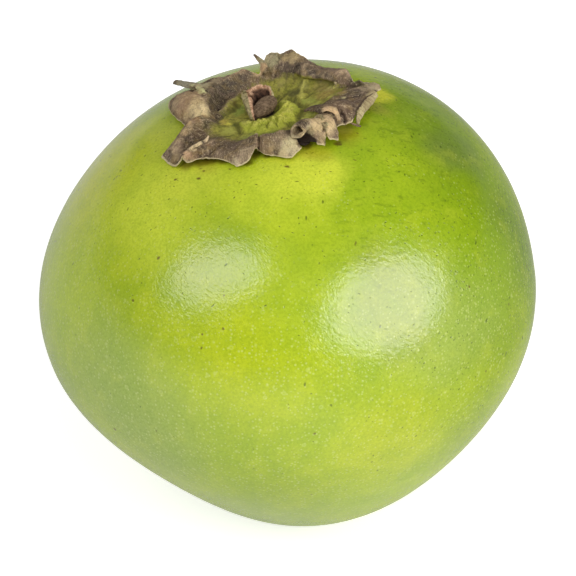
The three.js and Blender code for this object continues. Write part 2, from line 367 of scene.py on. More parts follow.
# the calyx: a dried four-lobed leaf that clasps the berry's crown, crumpled and curled at its margin
calyx = {
    "discRings": 26,
    "lobeRings": 46,
    "betweenRibs": 8,
    "rest": 1.2,              # lift of the disc's upper face over the skin
    "thickness": 0.42,
    "clearance": 0.12,        # least gap between the sheet's underside and the skin
    "footRadius": 9.6,        # where the lobes leave the disc
    # the collar of puckered tissue round the stalk's foot: azimuth, radius of its crest, half width
    # and rise
    "collar": [(-160, 5.8, 0.7, 0.0), (-146, 5.5, 0.9, 0.7), (-128, 5.3, 1.6, 1.4), (-104, 5.2, 2.4, 1.7),
               (-63, 4.7, 2.5, 1.75), (-30, 4.4, 2.1, 1.75), (0, 4.1, 1.7, 1.6), (26, 4.1, 1.2, 1.4),
               (45, 4.3, 0.9, 0.6), (60, 4.4, 0.8, 0.0)],
    "puckerSize": 1.9,
    "puckerDepth": 0.7,
    # folds across the collar: azimuth, depth and half width
    "pleats": [(-141, 0.4, 0.3), (-122, 0.6, 0.28), (-104, 0.45, 0.2), (-91, 0.75, 0.34),
               (-72, 0.6, 0.22), (-60, 0.45, 0.18), (-43, 0.75, 0.3), (-22, 0.55, 0.22),
               (-5, 0.6, 0.26), (15, 0.5, 0.2), (30, 0.4, 0.2)],
    "crumple": 0.17,
    "creases": 0.16,
    "fibres": 0.07,
    "ragged": 0.22,
    # ridges and grooves: height, half width, and azimuth and radius of the points along each
    "marks": [
        (0.7, 0.7, [(136, 8.3), (145, 8.6), (157, 8.6), (174, 9.4)]),
        (-0.6, 0.4, [(144, 6.8), (165, 7.5), (-177, 8.9)]),
        (-0.8, 0.35, [(44, 5.6), (33, 6.4), (8, 7.0), (-8, 7.3), (-38, 7.6), (-53, 7.7)]),
        (0.5, 0.7, [(16, 7.2), (40, 8.8), (50, 12.2)]),
        (-0.4, 0.6, [(22, 7.6), (27, 9.6), (30, 12.2)]),
        (-0.35, 0.5, [(62, 6.6), (66, 9.0), (70, 10.8)]),
        (0.3, 0.6, [(-8, 9.0), (4, 10.5), (10, 12.6)]),
        (-0.7, 0.35, [(-164, 6.2), (-142, 7.1), (-126, 8.6)]),
        (-0.5, 0.5, [(-126, 14.6), (-129, 17.4), (-133, 19.6)]),
        (-0.6, 0.5, [(-98, 11.2), (-88, 11.6), (-76, 11.8), (-66, 12.2)]),
        (-0.8, 0.22, [(-46, 16.2), (-48.5, 17.2), (-49.5, 18.2)]),
        (0.5, 0.4, [(-36, 13.4), (-32, 14.6), (-31, 16.4)]),
        (-0.6, 0.4, [(-26, 12.6), (-27, 14.8), (-30, 17.4)]),
        (0.25, 0.7, [(-163, 11.2), (-158, 14.2), (-154, 17.6), (-151, 20.6)]),
        (-0.25, 0.8, [(-155, 12.6), (-151, 16.0), (-147, 19.0)]),
        (-0.35, 0.4, [(-12, 12.4), (-8, 15.4), (-4, 18.4)]),
        (0.3, 0.4, [(-2, 12.4), (2, 15.4), (4, 18.6)]),
        (-0.4, 0.4, [(80, 11.6), (79, 13.6), (80, 15.4)]),
        (0.5, 0.35, [(101, 11.4), (110, 12.9), (122, 12.6), (132, 12.8)]),
        (-0.3, 0.35, [(158, 12.0), (152, 15.0), (149, 18.0)]),
        (0.3, 0.5, [(174, 12.0), (166, 15.6), (160, 18.4)]),
    ],
    # how far from the axis the disc stays green, by azimuth
    "greenReach": [(-180, 8.6), (-165, 9.4), (-150, 12.2), (-138, 11.8), (-90, 11.2), (-45, 10.8),
                   (-12, 12.2), (0, 14.6), (12, 15.8), (22, 14.8), (35, 13.2), (60, 11.6), (90, 10.6),
                   (120, 9.2), (150, 8.6)],
    # each rib runs out from the disc: its azimuth at the foot, then its points' azimuth, radius and lift
    "ribs": [
        # front left lobe, a long tongue
        (-172, [(-170, 11.9, 3.0), (-169, 14.0, 3.0), (-168, 16.3, 1.8)]),
        (-167, [(-167, 12.0, 3.6), (-163, 14.8, 3.9), (-159, 18.2, 2.6), (-158, 20.0, 1.4)]),
        (-161, [(-164, 12.2, 3.4), (-160, 14.8, 4.0), (-155, 17.3, 3.6), (-153, 20.2, 2.8),
                (-154, 22.7, 1.9)]),
        (-155, [(-156, 12.0, 2.2), (-152, 16.0, 2.5), (-150, 19.5, 2.1), (-150, 22.7, 1.2)]),
        (-148, [(-150, 12.5, 1.6), (-149, 15.6, 1.7), (-146, 19.0, 1.5), (-144, 22.1, 0.9)]),
        (-142, [(-143, 12.5, 1.6), (-143, 16.0, 2.0), (-142, 19.2, 2.2), (-142, 20.8, 1.7)]),
        # a sharp pleat between it and the front lobe
        (-134, [(-133, 12.5, 1.9), (-131, 15.6, 3.3), (-136, 18.0, 3.1), (-140, 20.3, 2.7),
                (-141, 20.8, 2.1)]),
        (-129, [(-129, 12.5, 1.8), (-129, 15.5, 2.6), (-132, 17.7, 2.2), (-136, 19.6, 1.8),
                (-137, 20.2, 1.2)]),
        # front lobe
        (-125, [(-125, 12.5, 1.8), (-126, 15.0, 2.2), (-129, 17.0, 2.0), (-131, 18.4, 1.6)]),
        (-120, [(-121, 12.5, 1.9), (-122, 15.0, 2.3), (-123, 16.8, 2.0), (-124, 17.9, 1.4)]),
        (-115, [(-116, 12.6, 2.0), (-116, 15.3, 2.4), (-117, 17.0, 1.9), (-118, 17.7, 1.2)]),
        (-109, [(-110, 12.8, 2.3), (-110, 15.5, 2.4), (-109, 17.4, 1.8), (-108, 18.5, 1.0)]),
        (-104, [(-105, 12.4, 2.8), (-104, 15.0, 2.6), (-104, 16.9, 2.0), (-104, 18.1, 1.2)]),
        (-100, [(-101, 11.4, 3.0), (-100, 13.4, 3.2), (-100, 15.6, 2.5), (-100, 17.2, 1.8)]),
        (-97, [(-98, 11.2, 3.2), (-96, 12.6, 3.5), (-96, 14.0, 3.0), (-97, 15.5, 2.3)]),
        (-95, [(-95, 11.2, 2.6), (-95, 12.4, 2.4), (-95, 13.4, 1.8), (-96, 14.4, 1.2)]),
        # front right piece, rolled back over its own edge
        (-93, [(-93, 11.4, 3.0), (-94, 12.6, 3.2), (-94, 14.0, 2.2), (-94, 15.0, 1.3)]),
        (-89, [(-90, 11.6, 3.2), (-91, 13.0, 3.4), (-91, 14.6, 2.4), (-90, 15.8, 1.1)]),
        (-82, [(-82, 11.8, 3.4), (-83, 13.4, 3.6), (-84, 15.1, 2.6), (-84, 16.6, 1.0)]),
        (-75, [(-76, 11.9, 3.5), (-76, 13.6, 3.8), (-76, 15.6, 2.8), (-75, 17.8, 1.0)]),
        (-70, [(-70, 12.0, 3.5), (-70, 13.5, 3.4), (-70, 15.3, 2.7), (-69, 17.0, 1.1)]),
        (-66, [(-66, 12.0, 3.0), (-67, 13.4, 2.5), (-66, 14.8, 2.2), (-65, 16.2, 1.2)]),
        (-62, [(-62, 11.6, 2.4), (-63, 12.6, 2.0), (-64, 13.6, 1.7), (-64, 14.6, 1.1)]),
        # a pale curl, slit down its middle
        (-54, [(-53, 11.6, 3.0), (-52, 13.4, 3.4), (-53, 15.2, 3.4), (-56, 16.6, 2.6), (-57, 17.4, 1.9)]),
        (-51, [(-49, 12.0, 3.2), (-47, 14.2, 4.1), (-50, 16.2, 3.6), (-54, 17.4, 2.4), (-56, 18.0, 1.6)]),
        (-47, [(-46, 12.4, 3.3), (-43, 14.4, 4.3), (-46, 16.6, 4.0), (-50, 17.7, 2.9), (-54, 18.4, 1.5)]),
        (-45.5, [(-44, 12.5, 3.3), (-42, 14.6, 4.4), (-45, 16.7, 4.0), (-49, 17.9, 2.9),
                 (-52, 18.5, 1.5)]),
        (-44.5, [(-43, 12.6, 3.3), (-41, 14.7, 4.4), (-44, 16.5, 4.1), (-48.5, 17.3, 3.4)]),
        (-43.5, [(-42, 12.7, 3.3), (-40, 14.8, 4.4), (-43, 16.7, 4.1), (-47, 18.0, 3.0),
                 (-49, 18.7, 2.3)]),
        (-40, [(-40, 13.0, 3.3), (-37.5, 15.2, 4.3), (-40, 17.0, 4.0), (-44, 18.3, 2.8),
               (-46.5, 19.1, 1.8)]),
        (-36, [(-36, 13.2, 3.1), (-35, 15.4, 4.2), (-38, 17.0, 3.9), (-41, 18.3, 2.9), (-44, 19.3, 1.6)]),
        (-33, [(-33, 13.3, 2.6), (-33, 15.2, 3.0), (-35, 16.6, 2.6), (-37, 17.3, 2.0)]),
        # right lobe, its margin folded down to show the pale underside
        (-28, [(-27, 12.0, 2.4), (-28, 14.6, 2.9), (-30, 16.8, 2.8), (-32, 18.1, 2.3)]),
        (-22, [(-22, 11.2, 2.8), (-24, 13.5, 3.9), (-25, 16.2, 3.9), (-28, 18.4, 3.1), (-29, 19.2, 2.6)]),
        (-14, [(-14, 11.8, 3.0), (-19, 14.5, 4.3), (-19, 16.6, 4.2), (-20, 18.4, 3.5), (-22, 19.0, 3.1)]),
        (-6, [(-6, 12.4, 2.7), (-8, 15.4, 3.1), (-11, 17.8, 3.2), (-13, 19.4, 3.4)]),
        (2, [(3, 12.5, 2.1), (3, 16.5, 2.9), (0, 19.4, 3.4), (-2, 20.9, 3.5)]),
        (8, [(9, 13.0, 1.9), (9, 17.0, 2.8), (9, 20.4, 3.4), (9, 22.3, 3.5), (7, 22.6, 2.8)]),
        (12, [(12, 13.0, 1.8), (12, 17.0, 2.4), (11, 19.6, 3.0), (11, 21.0, 3.2)]),
        (16, [(16, 13.0, 1.7), (15, 15.6, 2.1), (14, 17.4, 2.5), (14, 18.2, 2.7)]),
        # back right lobe, rolled up into a thick hump
        (21, [(20, 13.2, 1.6), (18, 14.4, 2.2), (17, 14.1, 3.2), (17, 14.6, 4.4), (17, 15.8, 5.1),
              (18, 17.2, 4.9), (18, 17.8, 3.4)]),
        (26, [(25, 13.2, 1.6), (23, 14.2, 2.2), (22, 13.3, 3.2), (22, 13.9, 4.5), (22, 15.3, 5.1),
              (22, 17.0, 4.8), (22, 17.7, 3.2)]),
        (33, [(32, 12.2, 1.6), (30, 13.2, 2.2), (29, 12.2, 3.2), (29, 12.7, 4.2), (29, 14.3, 4.6),
              (30, 15.9, 4.1), (31, 16.8, 2.8)]),
        (42, [(41, 11.6, 1.6), (40, 12.2, 2.2), (40, 11.3, 3.0), (40, 11.8, 3.8), (40, 13.2, 4.1),
              (40, 14.9, 3.6), (41, 15.8, 2.6)]),
        (51, [(50, 11.2, 1.7), (50, 11.7, 2.4), (50, 11.0, 3.3), (50, 11.8, 4.3), (50, 13.2, 4.7),
              (51, 14.4, 4.3), (52, 15.4, 3.4)]),
        (60, [(60, 11.2, 2.0), (60, 11.8, 3.2), (60, 13.4, 4.6), (60, 15.2, 4.9)]),
        # its peak
        (67, [(66, 11.2, 2.0), (66, 12.2, 3.3), (67, 14.2, 4.6), (68, 16.2, 5.1)]),
        (72, [(71, 11.2, 2.0), (72, 12.4, 3.2), (72, 14.8, 4.2), (73, 17.5, 4.9)]),
        (77, [(77, 11.4, 2.0), (77, 12.2, 3.2), (78, 13.8, 4.1), (77, 16.2, 4.5)]),
        (82, [(82, 11.4, 1.9), (82, 12.4, 3.0), (83, 14.6, 3.9), (83, 16.6, 4.5)]),
        (88, [(88, 11.4, 1.9), (88, 12.4, 2.9), (88, 14.4, 3.7), (89, 16.2, 4.3)]),
        (94, [(93, 10.6, 1.7), (94, 11.1, 2.4), (95, 11.7, 2.9)]),
        # back left lobe
        (101, [(100, 10.7, 1.8), (100, 11.4, 2.6), (101, 12.3, 3.0)]),
        (109, [(108, 10.8, 1.9), (108, 12.0, 2.9), (109, 14.0, 3.4)]),
        (118, [(118, 10.8, 2.0), (118, 12.0, 3.0), (118, 13.7, 3.3)]),
        (126, [(126, 11.0, 2.1), (126, 12.2, 3.1), (126, 14.0, 3.4)]),
        (133, [(133, 10.9, 2.3), (134, 12.6, 3.4), (133, 15.2, 3.5)]),
        (140, [(141, 10.7, 2.5), (142, 12.4, 3.9), (141, 16.4, 3.4)]),
        # left lobe, a broad roll
        (149, [(150, 10.4, 2.5), (152, 11.9, 4.3), (149, 14.6, 4.1), (147, 17.0, 3.2)]),
        (157, [(158, 10.4, 2.7), (160, 12.0, 4.8), (157, 15.5, 4.4), (156, 18.2, 3.6), (156, 20.4, 2.6)]),
        (165, [(166, 10.4, 2.7), (168, 11.7, 4.9), (163, 15.5, 4.8), (159, 18.8, 3.6), (158, 20.8, 2.3)]),
        (173, [(174, 10.4, 2.7), (176, 11.7, 4.9), (171, 15.0, 4.8), (167, 18.2, 3.5), (164, 20.1, 1.6)]),
        (180, [(-178, 10.5, 2.7), (-177, 11.6, 4.6), (178, 14.5, 4.3), (173, 17.2, 2.8),
               (171, 18.6, 1.2)]),
        (185, [(-174, 10.7, 2.5), (-172, 12.0, 3.6), (-176, 14.0, 3.0), (180, 16.0, 1.9),
               (179, 17.0, 1.2)]),
    ],
}


# how much of the collar's full height there is at a place on the disc
def collarAt(radius, azimuth):
    azimuths, crests, widths, rises = [np.array(column, float) for column in zip(*calyx["collar"])]
    columns = (crests, widths, rises)
    crest, width, rise = [np.interp(azimuth, azimuths, column, period=360) for column in columns]
    return rise / rises.max() * np.exp(-(np.abs((radius - crest) / width) ** 2.2))


def discLift(radius, azimuth):
    highest = max(row[3] for row in calyx["collar"])
    return calyx["rest"] + highest * collarAt(radius, azimuth)


# points on the crown from azimuth, radius and lift over the skin, in the berry's own frame
def lifted(radius, azimuth, lift):
    radius, azimuth = np.broadcast_arrays(np.asarray(radius, float), np.asarray(azimuth, float))
    angle = np.radians(azimuth)
    height = crownHeightAt(radius, azimuth) + lift
    return np.stack([radius * np.cos(angle), radius * np.sin(angle), height], -1)


# an even curve through points, at shares from 0 to 1 of its run
def throughPoints(points, shares, isClosed=False):
    points = np.asarray(points, float)
    count = len(points)
    position = np.asarray(shares, float) * (count if isClosed else count - 1)
    start = np.minimum(np.floor(position).astype(int), count - (1 if isClosed else 2))
    t = (position - start).reshape((-1,) + (1,) * (points.ndim - 1))
    if isClosed:
        a, b, c, d = [points[(start + k) % count] for k in (-1, 0, 1, 2)]
    else:
        a, b, c, d = [points[np.clip(start + k, 0, count - 1)] for k in (-1, 0, 1, 2)]
    return b + t / 2 * (c - a + t * (2 * a - 5 * b + 4 * c - d + t * (3 * (b - c) + d - a)))


# rows of azimuth, radius and perhaps lift, as x, y and lift
def onPlan(rows):
    rows = np.array(rows, float)
    turn = np.radians(rows[:, 0])
    return np.column_stack([rows[:, 1] * np.cos(turn), rows[:, 1] * np.sin(turn), rows[:, 2:]])


# across, along and lift of every point of the sheet: rings outwards by columns round
def calyxNet():
    foot = calyx["footRadius"]
    feet = np.array([rib[0] for rib in calyx["ribs"]], float)
    ribRows = []
    for footAzimuth, points in calyx["ribs"]:
        line = [(footAzimuth, foot - 1.5, discLift(foot - 1.5, footAzimuth)),
                (footAzimuth, foot, discLift(foot, footAzimuth))] + points
        # even steps by length, from the foot outwards
        steps = np.linspace(0, 1, 121)
        fine = throughPoints(onPlan(line), steps)
        run = np.concatenate([[0], np.cumsum(np.linalg.norm(np.diff(fine, axis=0), axis=1))])
        start = np.interp(1 / (len(line) - 1), steps, run)
        wanted = np.linspace(start, run[-1], calyx["lobeRings"] + 1)
        ribRows.append(np.stack([np.interp(wanted, run, fine[:, k]) for k in range(3)], -1))
    columns = len(feet) * calyx["betweenRibs"]
    turns = np.arange(columns) / columns
    lobes = throughPoints(np.array(ribRows), turns, True)
    closed = np.concatenate([feet, [feet[0] + 360]])
    azimuth = np.interp(np.arange(columns) / calyx["betweenRibs"], np.arange(len(closed)), closed)
    disc = []
    for radius in np.linspace(0, foot, calyx["discRings"] + 1)[1:-1]:
        turn = np.radians(azimuth)
        disc.append(np.stack([radius * np.cos(turn), radius * np.sin(turn),
                              discLift(np.full(columns, radius), azimuth)], -1))
    return np.concatenate([np.array(disc), lobes.transpose(1, 0, 2)]), len(disc)


def sheetNormals(points, quads):
    corners = points[quads]
    across = np.cross(corners[:, 2] - corners[:, 0], corners[:, 3] - corners[:, 1])
    normals = np.zeros_like(points)
    for k in range(4):
        np.add.at(normals, quads[:, k], across)
    return normals / np.maximum(np.linalg.norm(normals, axis=1, keepdims=True), 1e-12)


def cloudAt(points, size, seed, octaves=3):
    shift = Vector((seed * 17.3, seed * 5.1, seed * 9.7))
    return np.array([noise.fractal(Vector(p) / size + shift, 0.6, 2.0, octaves) for p in points])


# lumps with narrow grooves between them, from 0 in a groove to 1
def puckersAt(points, size, seed):
    shift = Vector((seed * 7.9, seed * 4.3, seed * 2.1))
    heights = []
    for p in points:
        distances = noise.voronoi(Vector(p) / size + shift)[0]
        heights.append(min(1.0, 2.2 * (distances[1] - distances[0])))
    return np.array(heights) ** 0.6


# how far points lie from a line through others, on plan
def awayFrom(points, path):
    best = np.full(len(points), 1e9)
    for first, second in zip(path[:-1], path[1:]):
        run = second - first
        share = np.clip(((points[:, :2] - first) @ run) / (run @ run), 0, 1)
        best = np.minimum(best, np.linalg.norm(points[:, :2] - first - share[:, None] * run, axis=1))
    return best


def creaseAt(points, size, seed):
    shift = Vector((seed * 11.9, seed * 3.7, seed * 7.3))
    return np.array([noise.turbulence(Vector(p) / size + shift, 3, False) for p in points])


def addAttribute(piece, name, values):
    attribute = piece.data.attributes.new(name, "FLOAT", "POINT")
    attribute.data.foreach_set("value", np.asarray(values, np.float32))


# height of the skin under points of the berry's own frame
def skinUnder(points):
    x, y = points[:, 0], points[:, 1]
    return crownHeightAt(np.hypot(x, y), np.degrees(np.arctan2(y, x)))


# a strip of closed loops, joined up and capped at both ends, facing outwards
def loft(loops):
    steps, size = loops.shape[:2]
    points = np.concatenate([loops.reshape(-1, 3), loops[0].mean(0)[None], loops[-1].mean(0)[None]])
    faces = []
    first, last = steps * size, steps * size + 1
    for i in range(steps - 1):
        for j in range(size):
            k = (j + 1) % size
            faces.append((i * size + j, i * size + k, (i + 1) * size + k, (i + 1) * size + j))
    for j in range(size):
        k = (j + 1) % size
        faces.append((first, k, j))
        faces.append((last, (steps - 1) * size + j, (steps - 1) * size + k))
    middle = points.mean(0)
    volume = 0
    for face in faces:
        corners = points[list(face)] - middle
        for k in range(1, len(face) - 1):
            volume += corners[0] @ np.cross(corners[k], corners[k + 1])
    return points, [face[::-1] for face in faces] if volume < 0 else faces


# small torn pieces of the calyx
scraps = {
    "steps": 26,
    "thickness": 0.4,
    # each has azimuth, radius and lift of the points along it, then a width and a tilt for each point
    "strips": [
        # a hooked tip at the back, and a thin sliver pointing out behind the left lobe
        ([(91, 11.4, 2.6), (91, 12.6, 3.5), (92, 13.8, 3.9), (95, 15.4, 4.2), (97, 16.9, 4.4)],
         [2.2, 1.7, 1.1, 0.8, 0.45], [30, 35, 40, 40, 40]),
        ([(149, 13.0, 3.4), (146, 16.2, 3.3), (142, 20.4, 3.0), (137, 25.4, 2.9)],
         [2.2, 1.9, 1.5, 1.3], [0, 10, 20, 15]),
        # a point between the right lobe and the back one
        ([(8.5, 17.2, 3.1), (7.5, 18.0, 3.4), (7.2, 18.7, 3.5), (6.5, 19.3, 3.5), (6, 20.0, 3.5)],
         [0.3, 1.3, 2.1, 1.2, 0.3], [80, 80, 80, 80, 80]),
        # the pleat's folded edge, a wedge over the disc at the right, and the ridge behind the curl
        ([(-140.5, 20.4, 2.8), (-137.5, 19.2, 3.5), (-134, 18.1, 4.0), (-131, 16.9, 4.2),
          (-131.5, 15.9, 4.5)],
         [0.3, 0.6, 0.7, 0.6, 0.3], [-35, -35, -35, -30, -30]),
        ([(-21, 8.0, 1.9), (-22, 9.6, 2.5), (-24, 11.4, 2.9), (-26, 13.2, 2.8)],
         [0.3, 1.3, 2.2, 3.0], [-15, -15, -10, 0]),
        ([(-36, 13.5, 4.0), (-33.5, 14.2, 4.5), (-32, 15.4, 4.7), (-33.5, 16.8, 4.4), (-36, 17.7, 3.5)],
         [0.7, 1.2, 1.4, 1.0, 0.5], [-10, -10, -10, -10, -10]),
        # a torn fibre below the right lobe
        ([(-32, 18.0, 2.1), (-29.5, 18.5, 2.2), (-28.5, 19.3, 1.8), (-27, 20.4, 1.5)],
         [0.25, 0.3, 0.25, 0.15], [0, 0, 0, 0]),
        # the right lobe's margin, folded down under it
        ([(-28, 19.8, 1.5), (-23, 19.3, 1.9), (-17, 19.2, 2.3), (-11, 19.7, 2.6), (-4, 20.5, 2.9),
          (0, 21.3, 3.2)],
         [0.3, 1.2, 1.7, 1.9, 2.1, 1.8], [-58, -60, -60, -56, -52, -48]),
        # a brown flap in the gap at the front right: torn tissue, and a dark sheet standing in for the
        # gap's shade
        ([(-58, 11.6, 1.8), (-59, 13.0, 1.4), (-60, 14.4, 1.0), (-60, 15.6, 0.8)],
         [3.2, 3.4, 3.0, 1.2], [0, 0, 0, 0]),
        # pale edge folded back over the left lobe
        ([(149, 17.2, 4.1), (151, 16.2, 4.5), (155, 14.3, 4.9), (160, 12.9, 5.0), (166, 12.2, 4.8)],
         [0.7, 1.0, 1.3, 1.2, 0.6], [0, 0, -10, -10, 0]),
    ],
    "palest": 7,              # the folded margin, counted from 0, shows its underside
    # a margin rolled into a tube: path, half widths, half heights, wall and depth of its hole
    "tube": ([(-65, 15.1, 3.9), (-62, 14.3, 3.7), (-57, 13.8, 3.7), (-52, 14.2, 3.7), (-49, 15.6, 3.2)],
             [1.45, 1.45, 1.35, 1.2, 0.8], [1.1, 1.15, 1.1, 1.0, 0.6], 0.36, 0.5),
}


def scrapFrames(path, shares):
    line = onPlan(path)
    line[:, 2] += skinUnder(line)
    spots = throughPoints(line, shares)
    along = np.gradient(spots, axis=0)
    along /= np.linalg.norm(along, axis=1, keepdims=True)
    across = np.cross(along, [0, 0, 1.0])
    across /= np.linalg.norm(across, axis=1, keepdims=True)
    return spots, across, np.cross(across, along)


# single sizes eased along a path
def eased(sizes, shares):
    return throughPoints(np.array(sizes, float)[:, None], shares)[:, 0]


def makeScraps():
    shares = np.linspace(0, 1, scraps["steps"])
    around = np.linspace(0, 2 * math.pi, 24, endpoint=False)
    made = []
    for path, widths, tilts in scraps["strips"]:
        spots, across, up = scrapFrames(path, shares)
        width = eased(widths, shares)
        tilt = np.radians(eased(tilts, shares))
        side = across * np.cos(tilt)[:, None] + up * np.sin(tilt)[:, None]
        top = up * np.cos(tilt)[:, None] - across * np.sin(tilt)[:, None]
        loops = []
        # a flat section with rounded sides, bowed a little
        u = np.sign(np.cos(around)) * np.abs(np.cos(around)) ** 0.6
        v = np.sign(np.sin(around)) * np.abs(np.sin(around)) ** 0.8
        for i in range(len(shares)):
            bow = 0.1 * width[i] * (1 - u ** 2)
            loops.append(spots[i] + np.outer(u * width[i] / 2, side[i])
                         + np.outer(v * scraps["thickness"] / 2 + bow, top[i]))
        made.append(loft(np.array(loops)))
    path, halfWidths, halfHeights, wall, depth = scraps["tube"]
    spots, across, up = scrapFrames(path, shares)
    wide, high = eased(halfWidths, shares), eased(halfHeights, shares)

    def section(i, inset):
        rough = 1 + 0.06 * np.sin(3 * around + 2) + 0.04 * np.sin(5 * around)
        # its mouth is cut on a slant, the lower lip standing forward
        slant = 0.7 * max(0, 1 - i / 9) * np.sin(around)
        return (spots[i] + np.outer((wide[i] - inset) * np.cos(around) * rough, across[i])
                + np.outer((high[i] - inset) * np.sin(around) * rough, up[i])
                + np.outer(slant, np.cross(up[i], across[i])))

    # up its outside, over its rounded lip, and a little way down its hole
    loops = [section(i, 0) for i in range(len(shares) - 1, -1, -1)]
    first = spots[1] - spots[0]
    loops.append(section(0, wall / 2) - 0.12 * first / np.linalg.norm(first))
    loops += [section(i, wall) for i in range(int(depth * len(shares)))]
    made.append(loft(np.array(loops)))
    return made


# how far the sheet's upper face stands off its smooth form
def sheetRelief(flat, share, turn, radius, ringPlace):
    # crumpled and creased more and more towards the margin, with fine fibres running out along the ribs
    lobe = np.clip(share * 2.2, 0, 1)
    fibres = cloudAt(ringPlace * 22 + np.outer(radius / 4, [0, 0, 1]), 1.0, 2, 3)
    fine = cloudAt(flat, 0.9, 3, 3)
    relief = (calyx["crumple"] * cloudAt(flat, 4.6, 5, 3) * lobe
              + calyx["creases"] * (creaseAt(flat, 3.4, 7) - 0.45) * (0.15 + 0.85 * lobe)
              + calyx["fibres"] * (fibres * (0.4 + lobe) + fine * (0.5 + lobe)))
    onCollar = collarAt(radius, np.degrees(turn))
    near = onCollar > 0.01
    puckers = np.ones(len(flat))
    puckers[near] = puckersAt(flat[near] * [1, 1, 0.5], calyx["puckerSize"], 3)
    relief -= calyx["puckerDepth"] * onCollar * (1 - puckers)
    relief += 0.5 * onCollar * cloudAt(flat, 2.4, 12, 2)
    wavering = flat + 0.5 * np.sin(flat[:, ::-1] * 1.7)
    for azimuth, depth, width in calyx["pleats"]:
        away = awayFrom(wavering, onPlan([(azimuth - 3, 2.4), (azimuth + 5, 6.8)]))
        relief -= depth * np.exp(-((away / width) ** 1.3)) * onCollar
    bent = flat + 0.5 * np.stack([cloudAt(flat, 1.6, 21, 2), cloudAt(flat, 1.6, 22, 2), 0 * turn], -1)
    for height, width, line in calyx["marks"]:
        relief += height * np.exp(-((awayFrom(bent, onPlan(line)) / width) ** 1.5))
    return relief


# the sheet's underside, thinner towards the margin and clear of the skin
def undersideOf(flat, normals, share, rings):
    under = flat - normals * (calyx["thickness"] * (1 - 0.4 * share))[:, None]
    # below the disc it follows the lowest of the folds, so that it never shows through them
    heights = flat[:, 2].reshape(rings, -1)
    lowest = np.min([np.roll(heights, step, 1) for step in range(-6, 7)], axis=0)
    nearby = [np.clip(np.arange(rings) + step, 0, rings - 1) for step in (-1, 0, 1)]
    lowest = np.min([lowest[rows] for rows in nearby], axis=0)
    belowFolds = np.minimum(under[:, 2], lowest.ravel() - calyx["thickness"])
    under[:, 2] = np.where(share > 0, under[:, 2], belowFolds)
    under[:, 2] = np.maximum(under[:, 2], skinUnder(under) + calyx["clearance"])
    return under


# how far each point of the sheet stands out from the ones around it
def standingOut(flat, normals, rings):
    shaped = flat.reshape(rings, -1, 3)
    around = np.zeros_like(shaped)
    for step in (-4, 4):
        around += np.roll(shaped, step, 1) / 4
        around += shaped[np.clip(np.arange(rings) + step, 0, rings - 1)] / 4
    return ((shaped - around).reshape(-1, 3) * normals).sum(1)


